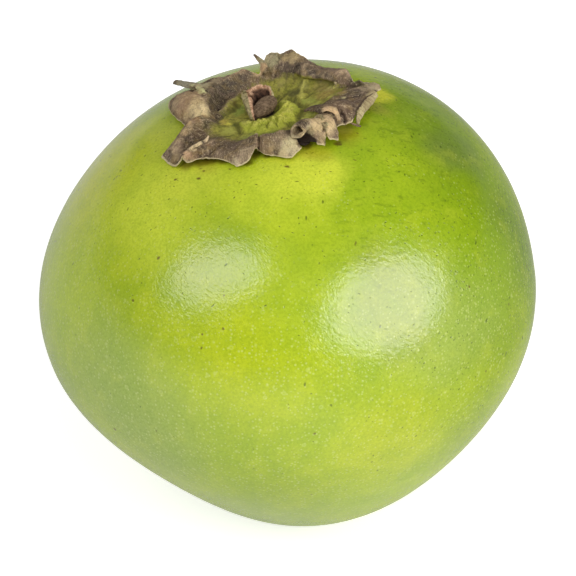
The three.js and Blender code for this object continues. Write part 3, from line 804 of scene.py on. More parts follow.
def makeCalyx(material):
    net, discCount = calyxNet()
    rings, columns = net.shape[:2]
    share = np.repeat(np.clip((np.arange(rings) - discCount) / calyx["lobeRings"], 0, 1), columns)
    flat = net.reshape(-1, 3).copy()
    flat[:, 2] += skinUnder(flat)
    grid = np.arange(rings * columns).reshape(rings, columns)
    following = np.roll(grid, -1, 1)
    quads = np.stack([grid[:-1], grid[1:], following[1:], following[:-1]], -1).reshape(-1, 4)
    outward = flat[:, :2] / np.maximum(np.linalg.norm(flat[:, :2], axis=1, keepdims=True), 1e-6)
    turn = np.arctan2(flat[:, 1], flat[:, 0])
    radius = np.hypot(flat[:, 0], flat[:, 1])
    ringPlace = np.stack([np.cos(turn), np.sin(turn), 0 * turn], -1)
    relief = sheetRelief(flat, share, turn, radius, ringPlace)
    flat = flat + sheetNormals(flat, quads) * relief[:, None]
    # the margin is torn in and out a little
    last = np.clip((share - 0.75) / 0.25, 0, 1) ** 1.5
    tear = cloudAt(ringPlace * 10, 1.0, 9, 3) + 0.5 * cloudAt(ringPlace * 34, 1.0, 4, 2)
    flat[:, :2] += outward * (calyx["ragged"] * tear * last)[:, None]
    flat[:, 2] = np.maximum(flat[:, 2], skinUnder(flat) + calyx["thickness"] + calyx["clearance"])
    normals = sheetNormals(flat, quads)

    count = len(flat)
    middle = lifted(0.0, 0.0, discLift(0.0, 0.0))
    middles = [middle, middle - [0, 0, calyx["thickness"]]]
    points = [np.concatenate([flat, undersideOf(flat, normals, share, rings), middles])]
    faces = [tuple(q) for q in quads] + [tuple(q[::-1] + count) for q in quads]
    for s in range(columns):
        n = (s + 1) % columns
        faces.append((2 * count, grid[0, s], grid[0, n]))
        faces.append((2 * count + 1, grid[0, n] + count, grid[0, s] + count))
        faces.append((grid[-1, s], grid[-1, s] + count, grid[-1, n] + count, grid[-1, n]))

    # marks for the finish: how proud a place stands, its underside, and how near the margin it is
    proud = standingOut(flat, normals, rings)
    # the right lobe folds over at its edge, with a painted shadow along the fold
    folded = np.abs(np.degrees(turn) + 12) < 15
    marks = {
        "proud": [proud, -proud, [0, 0]],
        "under": [np.zeros(count), np.ones(count), [0, 1]],
        "reach": [np.where(folded, -share, share), share, [0, 0]],
    }
    for number, (more, moreFaces) in enumerate(makeScraps()):
        start = sum(len(part) for part in points)
        faces += [tuple(corner + start for corner in face) for face in moreFaces]
        rough = np.stack([cloudAt(more, 1.3, seed, 3) for seed in (31, 32, 33)], -1)
        points.append(more + 0.1 * rough)
        for name in marks:
            showsUnderside = name == "under" and number == scraps["palest"]
            marks[name].append(np.full(len(more), float(showsUnderside)))
    points = np.concatenate(points)
    piece = meshPiece("witheredCalyx", placed(points), faces, material)
    turn = np.arctan2(points[:, 1], points[:, 0])
    radius = np.hypot(points[:, 0], points[:, 1])
    greenAzimuths, greenRadii = zip(*calyx["greenReach"])
    pastGreen = radius - np.interp(np.degrees(turn), greenAzimuths, greenRadii, period=360)
    raised = points[:, 2] - skinUnder(points)
    pastGreen += 3.0 * np.clip(raised - 2.5, 0, 3) * (radius > 8.8)
    pastGreen[2 * count + 2:] = 5.0    # the scraps are all brown
    for name, parts in marks.items():
        addAttribute(piece, name, np.concatenate(parts))
    addAttribute(piece, "pastGreen", pastGreen)
    addAttribute(piece, "fromAxis", radius)
    addAttribute(piece, "collar", collarAt(radius, np.degrees(turn)))
    addAttribute(piece, "turn", turn)
    return piece


# finishes: a material, its board and shader, and the place on the piece in millimetres
def newMaterial(name):
    material = bpy.data.materials.new(name)
    material.use_nodes = True
    board = Board(material.node_tree)
    place = board.scaled(board.add("ShaderNodeTexCoord", output=3), 1 / mm)
    return material, board, material.node_tree.nodes["Principled BSDF"], place


# relief along the surface, its depth in millimetres
def roughen(board, shader, height, depth):
    sockets = {"Strength": 1.0, "Distance": depth * mm, "Height": height}
    board.plug(shader.inputs["Normal"], board.add("ShaderNodeBump", None, sockets))


def rgb(red, green, blue):
    # a colour as seen on a screen, 0 to 255, as the shader's own light
    def line(value):
        share = value / 255
        return share / 12.92 if share < 0.04045 else ((share + 0.055) / 1.055) ** 2.4

    return (line(red), line(green), line(blue), 1.0)


skinLook = {
    "green": rgb(160, 184, 28),
    "yellowGreen": rgb(182, 200, 34),
    "patches": [
        # place, reach, softness of the edge, strength and colour
        ((-30, -16, 80), 12, 0.75, 0.85, rgb(212, 226, 64)),
        ((-42, 4, 74), 12.8, 0.75, 0.8, rgb(206, 210, 26)),
        ((-46, -20, 60), 10.4, 0.75, 0.5, rgb(174, 198, 14)),
        ((-2, -22, 88), 8.8, 0.75, 0.85, rgb(204, 218, 50)),
        ((-22, -14, 85), 7.2, 0.75, 0.6, rgb(214, 222, 66)),
        ((12, -27, 82), 10.4, 0.75, 0.7, rgb(148, 176, 18)),
        ((24, 2, 87), 12, 0.75, 0.9, rgb(124, 152, 24)),
        ((33, -11, 77), 12, 0.75, 0.9, rgb(124, 152, 10)),
        ((40, -13, 67), 9.6, 0.75, 0.8, rgb(108, 134, 4)),
        ((27, -6, 84), 4.8, 0.75, 0.6, rgb(122, 140, 62)),
        ((26, -26, 75), 10.4, 0.75, 0.6, rgb(140, 168, 12)),
        ((38, -26, 56), 13.6, 0.75, 0.8, rgb(138, 162, 4)),
        ((31, -33, 36), 9.6, 0.75, 0.7, rgb(148, 168, 6)),
        ((-6, -41, 71), 9.6, 0.75, 0.4, rgb(168, 192, 38)),
        ((-15, -45, 64), 8.8, 0.75, 0.8, rgb(190, 204, 24)),
        ((-7, -48, 57), 9.6, 0.75, 0.7, rgb(188, 202, 20)),
        ((17, -45, 43), 10.4, 0.75, 0.7, rgb(184, 194, 30)),
        ((-37, -37, 50), 11.2, 0.75, 0.8, rgb(154, 178, 74)),
        ((-28, -43, 41), 9.6, 0.75, 0.8, rgb(156, 178, 80)),
        ((-3, -46, 31), 10.4, 0.75, 0.6, rgb(154, 176, 20)),
        ((-10, -34, 15), 12.8, 0.75, 0.6, rgb(172, 190, 84)),
        ((8, -18, 87), 8, 0.6, 0.7, rgb(158, 184, 28)),
        ((-2, -20, 88), 8, 0.3, 0.85, rgb(220, 228, 66)),
        ((-10, -22, 86), 7, 0.5, 0.6, rgb(208, 222, 56)),
        ((11.0, 4.8, 89.2), 3.9, 0.45, 1.0, rgb(232, 230, 66)),
        ((6.5, -10, 89.2), 2.6, 0.7, 0.7, rgb(158, 142, 34)),
        # painted shade under the calyx's front margin, olive-brown
        ((1, -13.6, 88.8), 2.6, 0.7, 0.6, rgb(168, 150, 30)),
        ((-19, -14, 85.5), 2.4, 0.7, 0.4, rgb(160, 146, 40)),
        ((20, 1, 88), 3.6, 0.6, 0.5, rgb(150, 172, 50)),
        ((-28, 0, 83.6), 5, 0.7, 0.7, rgb(208, 216, 84)),
        ((13, -1, 89.4), 2.4, 0.6, 0.6, rgb(176, 170, 66)),
        ((6.5, -7, 89.5), 2.2, 0.6, 0.7, rgb(176, 164, 62)),
        ((25, -34, 63), 12, 0.6, 0.55, rgb(152, 172, 84)),
        ((41, -8, 62), 9, 0.6, 0.7, rgb(116, 144, 20)),
        ((44, -4, 52), 9, 0.6, 0.6, rgb(124, 152, 24)),
        ((30, -4, 83), 6, 0.5, 0.6, rgb(110, 132, 52)),
        ((14, -37, 72), 9, 0.6, 0.5, rgb(156, 180, 50)),
        ((33, -22, 68), 9, 0.6, 0.5, rgb(134, 164, 8)),
        ((15, -39, 70), 9, 0.6, 0.85, rgb(151, 164, 48)),
        ((-18, -35, 75), 6.5, 0.6, 0.6, rgb(166, 180, 34)),
    ],
    "patchDrift": 11.0,
    "dotSpacing": 0.66,        # pale breathing dots, closest together low on the front
    "dotSize": (0.08, 0.32),
    "dotColour": rgb(216, 224, 136),
    # dark scratches: the turn of their run, spacing, width and how many there are
    "scratches": [(0.6, 0.7, 0.14, 1.1), (-0.9, 1.0, 0.19, 1.0), (1.9, 2.4, 0.3, 1.0)],
    "fleckColour": rgb(62, 80, 10),
    "strokeColour": rgb(84, 108, 14),
    "speckColour": rgb(96, 74, 30),
    # brown nicks in the skin below the calyx: place and reach
    "nicks": [((-4.5, -18.3, 87.5), 0.5), ((-3.9, -18.6, 87.4), 0.35), ((5.2, -13.0, 88.9), 0.5),
              ((5.9, -13.2, 88.9), 0.45), ((-24.1, -14.5, 83.6), 0.45), ((-25.6, -15.5, 82.7), 0.4),
              ((-21.1, -17.4, 84.1), 0.35), ((-20.4, -15.0, 84.9), 0.4), ((-15.6, -16.8, 85.9), 0.3),
              ((12.8, 0.6, 89.5), 0.5), ((11.6, -1.4, 89.6), 0.4), ((8.3, -18.7, 87.4), 0.35),
              ((8.6, -16.8, 87.9), 0.3), ((9.0, -6.3, 89.6), 0.45), ((7.0, -9.6, 89.4), 0.4)],
    "nickColour": rgb(92, 70, 26),
    # painted shadow where the calyx's lobes overhang the skin, tinted brown: place and reach
    "lobeShade": [((-23.2, -12.4, 84.4), 2.6), ((-20.4, -12.6, 85.2), 2.6), ((-18.4, -12.8, 85.7), 2.4),
             ((-16.4, -14.2, 86.1), 1.6), ((-11.9, -15.6, 86.8), 1.8), ((-10.2, -13.8, 87.3), 2.0),
             ((-7.8, -14.6, 87.6), 1.2), ((-0.4, -12.8, 88.6), 1.8), ((5.5, -12.6, 88.9), 1.3)],
    "lobeShadeColour": rgb(100, 84, 16),
    "roughness": 0.2,
    "gloss": 0.92,
    "peelDepth": 0.065,
}


def makeSkinMaterial():
    material, board, shader, place = newMaterial("waxySkin")
    x, _, z = board.parts(place)
    wandering = board.wandered(place, 0.07, skinLook["patchDrift"], detail=3.0)
    broad = board.cloud(place, 0.045, detail=4.0, roughness=0.55)
    colour = board.mixed(board.rise(broad, 0.36, 0.64), skinLook["green"], skinLook["yellowGreen"])
    for centre, reach, softness, strength, shade in skinLook["patches"]:
        inner, outer = reach * (1 - softness), reach * (1 + softness)
        colour = board.spot(colour, wandering, centre, inner, outer, strength, shade)
    # blotches a few millimetres wide, and a finer grain
    blotch = board.cloud(place, 0.22, detail=4.0, roughness=0.6)
    colour = board.mixed(0.2 * board.rise(blotch, 0.45, 0.7), colour, rgb(132, 166, 20))
    colour = board.mixed(0.16 * board.fall(blotch, 0.3, 0.5), colour, rgb(212, 218, 60))
    grain = board.cloud(place, 2.0, detail=2.0, roughness=0.7)
    colour = board.mixed(0.35 * board.fall(grain, 0.35, 0.6), colour, rgb(190, 204, 140), "MULTIPLY")

    # breathing dots: the surface cuts a cloud of points, so that they come in every size
    low = board.fall(z, 60.0, 84.0)
    crowd = board.rise(board.cloud(place, 0.12, detail=2.0) + 0.35 * low, 0.42, 0.75)
    smallest, largest = skinLook["dotSize"]
    away, chance = board.scatter(place, skinLook["dotSpacing"])
    size = smallest + (largest - smallest) * chance[0]
    dots = board.fall(away / size, 0.2, 1.1) * board.over(crowd, chance[1]) * (0.55 + 0.45 * low)
    colour = board.mixed(0.42 * dots, colour, skinLook["dotColour"])
    # some are larger and soft
    away, chance = board.scatter(board.vector("ADD", place, (5.0, 23.0, 11.0)), 2.1)
    soft = board.fall(away / (0.3 + 0.25 * chance[0]), 0.3, 1.0) * board.over(crowd, chance[1])
    colour = board.mixed(0.28 * soft * low, colour, skinLook["dotColour"])
    # some are rings round a darker middle
    away, chance = board.scatter(board.vector("ADD", place, (31.0, 7.0, 19.0)), 3.4)
    ring = board.fall(board.maths("ABSOLUTE", away - 0.36), 0.05, 0.2) * board.over(chance[0], 0.3)
    colour = board.mixed(0.22 * ring * low, colour, skinLook["dotColour"])

    # dark flecks and short scratches, thickest on the shoulder round the calyx and on the right
    shoulder = board.rise(z, 62.0, 86.0)
    side = board.rise(x, 5.0, 40.0)
    worn = board.clamped(0.08 + 0.45 * shoulder + 0.95 * side)
    worn = worn * board.rise(board.cloud(place, 0.14, detail=2.0), 0.3, 0.65)
    bent = board.wandered(place, 0.25, 2.2)
    marks = 0.0
    for angle, spacing, width, share in skinLook["scratches"]:
        streaked = board.vector("MULTIPLY", board.turned(bent, (0.3, -0.8, 0.5), angle), (0.45, 1.0, 1.0))
        away, chance = board.scatter(streaked, spacing)
        mark = board.fall(away, width * 0.4, width) * board.over(worn * share, chance[2])
        marks = board.maths("MAXIMUM", marks, mark)
    colour = board.mixed(0.7 * marks, colour, skinLook["fleckColour"])
    # faint strokes run across the skin where it is worn
    across = board.vector("MULTIPLY", bent, (0.24, 1.0, 1.2))
    strokes = board.fall(board.cloud(across, 0.9, detail=3.0, roughness=0.65), 0.3, 0.46)
    strokes = strokes * board.clamped(0.15 + 0.6 * shoulder) * board.rise(x, -4.0, 14.0)
    colour = board.mixed(0.55 * strokes, colour, skinLook["strokeColour"])
    away, chance = board.scatter(bent, 4.2)
    points = board.fall(away, 0.16, 0.4) * board.over(0.2 + 0.3 * worn, chance[0])
    colour = board.mixed(0.75 * points, colour, skinLook["speckColour"])

    squeezed = board.vector("MULTIPLY", bent, (0.6, 1.0, 1.0))
    for (nickX, nickY, nickZ), reach in skinLook["nicks"]:
        centre = (0.6 * nickX, nickY, nickZ)
        colour = board.spot(colour, squeezed, centre, reach * 0.3, reach, 0.85, skinLook["nickColour"])
    # painted shadow on the skin under the lobes' margins, tinted brown
    for centre, reach in skinLook["lobeShade"]:
        colour = board.spot(colour, bent, centre, reach * 0.3, reach, 0.8, skinLook["lobeShadeColour"])
    board.plug(shader.inputs["Base Color"], colour)
    wear = board.cloud(place, 0.3, detail=3.0)
    board.plug(shader.inputs["Roughness"], skinLook["roughness"] + 0.1 * (wear - 0.5))
    shader.inputs["Specular IOR Level"].default_value = skinLook["gloss"]
    # orange peel with a leathery run to it
    leather = board.vector("MULTIPLY", board.turned(bent, (0.2, -0.9, 0.3), 0.7), (1.0, 1.3, 1.6))
    peel = board.cloud(leather, 1.0, detail=2.0, roughness=0.6)
    roughen(board, shader, peel + 0.2 * dots - 0.3 * marks, skinLook["peelDepth"])
    return material


calyxLook = {
    "disc": rgb(152, 148, 62),
    "discDark": rgb(108, 100, 46),
    "collar": rgb(174, 178, 60),
    "brown": rgb(118, 99, 78),
    "dark": rgb(66, 55, 42),
    "ridgeHighlight": rgb(172, 148, 118),
    "edge": rgb(204, 190, 150),
    "brighter": (1.17, 1.16, 1.1),
    "roughness": 0.82,
    "gloss": 0.35,
    "grainDepth": 0.11,
    "greens": [
        # azimuth and radius, reach, strength and colour
        (165, 5.6, 1.4, 0.8, rgb(136, 152, 66)),
        (148, 5.9, 1.2, 0.8, rgb(130, 146, 64)),
        (150, 9.2, 1.3, 0.8, rgb(110, 96, 46)),
        (147, 7.4, 1.1, 0.9, rgb(104, 92, 42)),
        (162, 7.4, 1.1, 0.9, rgb(92, 84, 34)),
        (-168, 8.9, 1.4, 0.9, rgb(174, 156, 74)),
        (-160, 7.8, 0.9, 0.9, rgb(200, 190, 72)),
        (-150, 6.6, 1.0, 0.85, rgb(88, 94, 42)),
        (-142, 8.9, 1.8, 0.8, rgb(168, 168, 78)),
        (-107, 9.8, 2.2, 0.7, rgb(150, 156, 80)),
        (-82, 8.8, 1.9, 0.8, rgb(122, 130, 56)),
        # painted light: brightened so this bit of disc in the curl's shadow reads as lit
        (-40, 8.8, 1.8, 1.0, rgb(240, 240, 124)),
        (-22, 9.4, 1.3, 0.8, rgb(178, 182, 84)),
        (-2, 9.6, 1.4, 0.6, rgb(166, 172, 84)),
        (46, 7.6, 1.5, 0.95, rgb(84, 82, 40)),
        (30, 6.2, 0.9, 0.7, rgb(88, 92, 52)),
        (43, 10.0, 1.4, 0.7, rgb(158, 154, 84)),
        (17, 13.4, 1.6, 0.8, rgb(176, 166, 104)),
        (12, 8.4, 1.6, 0.7, rgb(156, 164, 74)),
        (11, 12.0, 2.2, 0.7, rgb(158, 134, 74)),
        (28, 12.4, 1.8, 0.7, rgb(150, 134, 80)),
        (72, 9.6, 1.6, 0.6, rgb(156, 148, 84)),
        (96, 8.4, 1.6, 0.6, rgb(142, 134, 72)),
    ],
    "collarTones": [
        (-130, 5.4, 1.5, 0.8, rgb(146, 148, 58)),
        (-144, 5.4, 1.1, 0.8, rgb(88, 92, 40)),
        (-98, 6.2, 1.2, 0.6, rgb(150, 156, 56)),
        (-48, 4.2, 0.9, 0.6, rgb(212, 206, 84)),
        (-16, 4.8, 1.1, 0.7, rgb(208, 202, 80)),
        (12, 4.0, 0.8, 0.6, rgb(204, 198, 84)),
        (-72, 5.4, 0.7, 0.5, rgb(118, 128, 44)),
    ],
    # in the dark of the gaps: azimuth, radius and lift, and reach
    "shadows": [(-60, 15.1, 1.2, 1.7), (-57, 16.6, 1.4, 1.1), (160, 15.0, 4.6, 0.45),
                (158, 15.5, 4.5, 0.4)],
    "shadowColour": rgb(38, 27, 20),
    "tones": [
        # azimuth, radius and lift, reach, strength and colour
        (171, 15.4, 4.0, 4.4, 0.85, rgb(164, 134, 104)),
        (160, 18.4, 3.4, 2.6, 0.6, rgb(150, 124, 104)),
        (-176, 13.2, 3.8, 2.8, 1.0, rgb(214, 194, 148)),
        (-179, 15.9, 3.2, 1.5, 0.85, rgb(204, 182, 140)),
        (-167, 11.9, 4.2, 1.2, 0.8, rgb(198, 168, 124)),
        (-172, 15.2, 2.6, 1.2, 0.8, rgb(190, 160, 132)),
        (176, 13.0, 4.4, 1.8, 0.7, rgb(182, 156, 116)),
        (168, 10.2, 2.8, 3.0, 1.0, rgb(62, 52, 38)),
        (156, 10.6, 3.2, 3.2, 1.0, rgb(68, 58, 42)),
        (178, 10.4, 3.0, 1.6, 0.9, rgb(82, 68, 48)),
        (-157, 12.4, 3.6, 2.4, 0.95, rgb(66, 58, 38)),
        (-159, 15.7, 4.0, 0.9, 0.7, rgb(206, 172, 124)),
        (-155, 17.3, 3.6, 1.0, 0.6, rgb(170, 142, 98)),
        (149, 17.0, 4.2, 0.9, 0.9, rgb(190, 186, 144)),
        (152, 15.6, 4.7, 1.0, 0.9, rgb(196, 194, 146)),
        (157, 13.8, 5.0, 1.0, 0.9, rgb(204, 202, 150)),
        (162, 12.7, 4.9, 1.0, 0.9, rgb(200, 198, 144)),
        (81, 12.4, 4.2, 0.7, 0.9, rgb(196, 190, 150)),
        (82, 15.8, 4.5, 0.7, 0.9, rgb(84, 72, 54)),
        (88, 15.8, 4.5, 0.6, 0.8, rgb(92, 80, 60)),
        (86, 14.5, 4.2, 0.6, 0.8, rgb(120, 112, 82)),
        (-160, 13.9, 4.0, 1.2, 0.8, rgb(140, 110, 74)),
        (-157, 16.5, 2.9, 1.1, 0.85, rgb(158, 138, 96)),
        (-148, 12.6, 2.2, 2.4, 0.8, rgb(118, 106, 60)),
        (-155, 14.6, 3.0, 2.0, 0.8, rgb(112, 94, 68)),
        (-151, 14.6, 2.0, 2.0, 0.85, rgb(84, 66, 50)),
        (-147, 20.2, 2.2, 1.8, 0.85, rgb(160, 140, 112)),
        (-151, 21.8, 1.6, 1.4, 0.7, rgb(112, 98, 80)),
        (-135, 19.0, 1.9, 1.6, 0.9, rgb(110, 88, 58)),
        (-134, 18.1, 4.1, 0.9, 1.0, rgb(206, 184, 146)),
        (-131, 16.6, 4.4, 0.9, 1.0, rgb(206, 184, 146)),
        (-137, 19.0, 3.6, 0.9, 1.0, rgb(206, 184, 146)),
        (-140, 20.2, 3.0, 0.8, 1.0, rgb(206, 184, 146)),
        (-128, 16.6, 3.1, 0.65, 0.95, rgb(76, 54, 38)),
        (-127, 16.2, 3.0, 0.7, 0.7, rgb(170, 146, 114)),
        (-154, 19.8, 2.8, 1.4, 0.6, rgb(150, 132, 108)),
        (-142, 17.0, 1.8, 2.0, 0.8, rgb(96, 78, 60)),
        (-140, 20.0, 2.2, 1.4, 0.8, rgb(176, 140, 116)),
        (-130, 15.8, 3.9, 0.8, 0.9, rgb(176, 150, 118)),
        (-132, 16.2, 2.8, 0.5, 0.9, rgb(96, 66, 40)),
        (-119, 15.0, 2.2, 3.6, 0.9, rgb(94, 78, 62)),
        (-122, 17.4, 2.0, 1.8, 0.6, rgb(122, 104, 84)),
        (-102, 16.6, 2.2, 2.0, 0.8, rgb(150, 132, 106)),
        (-108, 18.4, 1.4, 1.4, 0.8, rgb(190, 176, 142)),
        (-95, 11.6, 3.2, 1.8, 0.8, rgb(112, 90, 68)),
        (-82, 14.6, 3.2, 2.8, 0.7, rgb(140, 122, 94)),
        (-72, 16.4, 2.4, 2.4, 0.9, rgb(184, 172, 134)),
        (-80, 17.2, 1.4, 1.6, 0.9, rgb(188, 174, 130)),
        (-90, 13.6, 3.0, 1.4, 0.7, rgb(120, 100, 74)),
        (-84, 12.0, 3.2, 1.8, 0.9, rgb(92, 76, 60)),
        (-91, 15.2, 2.4, 1.6, 0.7, rgb(112, 92, 68)),
        # painted shadow in the gap at the front right
        (-60, 15.0, 1.0, 2.2, 1.0, rgb(40, 28, 20)),
        (-64, 13.6, 3.9, 1.2, 0.8, rgb(176, 160, 126)),
        (-62, 15.4, 3.4, 1.1, 0.95, rgb(214, 192, 150)),
        # the tube's cream inner wall, made overbright as painted light in its shaded hollow
        (-61, 15.0, 2.9, 0.7, 1.0, rgb(250, 228, 184)),
        (-56, 15.6, 3.4, 1.2, 0.8, rgb(158, 146, 114)),
        (-52, 13.6, 4.4, 1.8, 0.9, rgb(126, 108, 80)),
        (-46, 16.6, 3.9, 2.8, 0.95, rgb(200, 176, 134)),
        (-51, 18.4, 2.2, 1.6, 0.8, rgb(156, 136, 98)),
        (-37, 16.6, 4.2, 2.0, 0.8, rgb(186, 158, 122)),
        (-47, 16.7, 3.9, 0.4, 1.0, rgb(60, 46, 34)),
        (-49, 17.4, 3.3, 0.4, 1.0, rgb(60, 46, 34)),
        (-49, 14.6, 4.0, 1.4, 0.9, rgb(190, 166, 126)),
        (-42, 13.2, 3.7, 1.1, 0.9, rgb(112, 96, 70)),
        (-33, 14.6, 4.7, 1.2, 0.95, rgb(232, 198, 152)),
        (-33, 16.2, 4.7, 1.2, 0.9, rgb(222, 188, 142)),
        (-37, 16.2, 3.4, 0.8, 0.9, rgb(74, 58, 42)),
        (2, 14.8, 2.8, 1.6, 0.7, rgb(140, 122, 68)),
        (-7, 15.4, 3.1, 0.6, 0.9, rgb(204, 194, 140)),
        (7, 18.7, 4.0, 1.2, 0.9, rgb(74, 70, 42)),
        (-31, 14.8, 3.6, 1.4, 0.9, rgb(206, 172, 134)),
        (-23, 15.6, 3.0, 3.6, 0.95, rgb(98, 78, 62)),
        (-23, 10.4, 2.6, 2.2, 0.95, rgb(76, 62, 50)),
        (-10, 17.2, 3.2, 2.4, 0.8, rgb(104, 84, 70)),
        (0, 17.4, 3.4, 2.0, 0.6, rgb(92, 80, 68)),
        (7, 21.0, 3.2, 2.2, 0.9, rgb(160, 148, 118)),
        (3, 19.6, 3.4, 1.4, 0.6, rgb(148, 132, 106)),
        (12, 18.6, 3.4, 1.6, 0.8, rgb(84, 74, 62)),
        (24, 15.8, 4.6, 2.8, 0.85, rgb(130, 106, 88)),
        (38, 14.0, 4.8, 2.4, 0.8, rgb(128, 106, 88)),
        (20, 17.6, 4.2, 1.8, 0.7, rgb(158, 136, 114)),
        (22, 13.8, 3.2, 1.7, 1.0, rgb(98, 87, 76)),
        (30, 12.8, 3.0, 1.2, 0.9, rgb(122, 110, 94)),
        (36, 11.6, 3.2, 1.7, 1.0, rgb(84, 73, 64)),
        (50, 11.2, 3.2, 1.7, 1.0, rgb(76, 66, 56)),
        (19, 13.2, 1.7, 1.5, 0.9, rgb(166, 156, 100)),
        (68, 14.4, 4.6, 2.2, 0.9, rgb(184, 162, 118)),
        (72, 17.2, 4.8, 1.4, 0.8, rgb(128, 106, 86)),
        (62, 11.8, 3.0, 2.2, 1.0, rgb(66, 56, 48)),
        (72, 12.0, 3.2, 1.8, 0.9, rgb(82, 72, 58)),
        (86, 14.6, 4.0, 2.6, 0.95, rgb(168, 160, 124)),
        (78, 15.4, 4.4, 1.0, 0.7, rgb(104, 96, 70)),
        (92, 12.6, 3.4, 1.2, 0.9, rgb(196, 162, 122)),
        (97, 11.9, 3.0, 1.0, 0.8, rgb(196, 166, 124)),
        (97, 17.6, 4.5, 0.9, 0.9, rgb(62, 52, 46)),
        (104, 11.4, 3.0, 1.3, 0.8, rgb(112, 96, 80)),
        (99, 12.4, 3.2, 0.9, 0.8, rgb(176, 146, 108)),
        (112, 13.6, 3.4, 1.4, 0.8, rgb(192, 162, 128)),
        (128, 14.0, 3.5, 1.6, 0.7, rgb(160, 140, 112)),
        (116, 11.2, 2.4, 2.0, 1.0, rgb(86, 74, 62)),
        (130, 11.0, 2.8, 2.2, 1.0, rgb(84, 74, 64)),
        (140, 11.2, 3.0, 1.8, 1.0, rgb(76, 66, 54)),
        (147, 14.8, 4.6, 2.2, 0.95, rgb(186, 176, 142)),
        (136, 13.7, 3.4, 1.6, 0.9, rgb(158, 140, 112)),
        (154, 13.7, 4.4, 1.5, 0.9, rgb(172, 158, 122)),
        (167, 18.4, 3.6, 1.8, 0.7, rgb(160, 140, 110)),
        # painted shadow in the hole beside the sliver
        (154, 16.2, 3.8, 0.5, 1.0, rgb(40, 30, 24)),
        (141, 21.0, 2.8, 4.2, 0.9, rgb(152, 148, 128)),
    ],
}


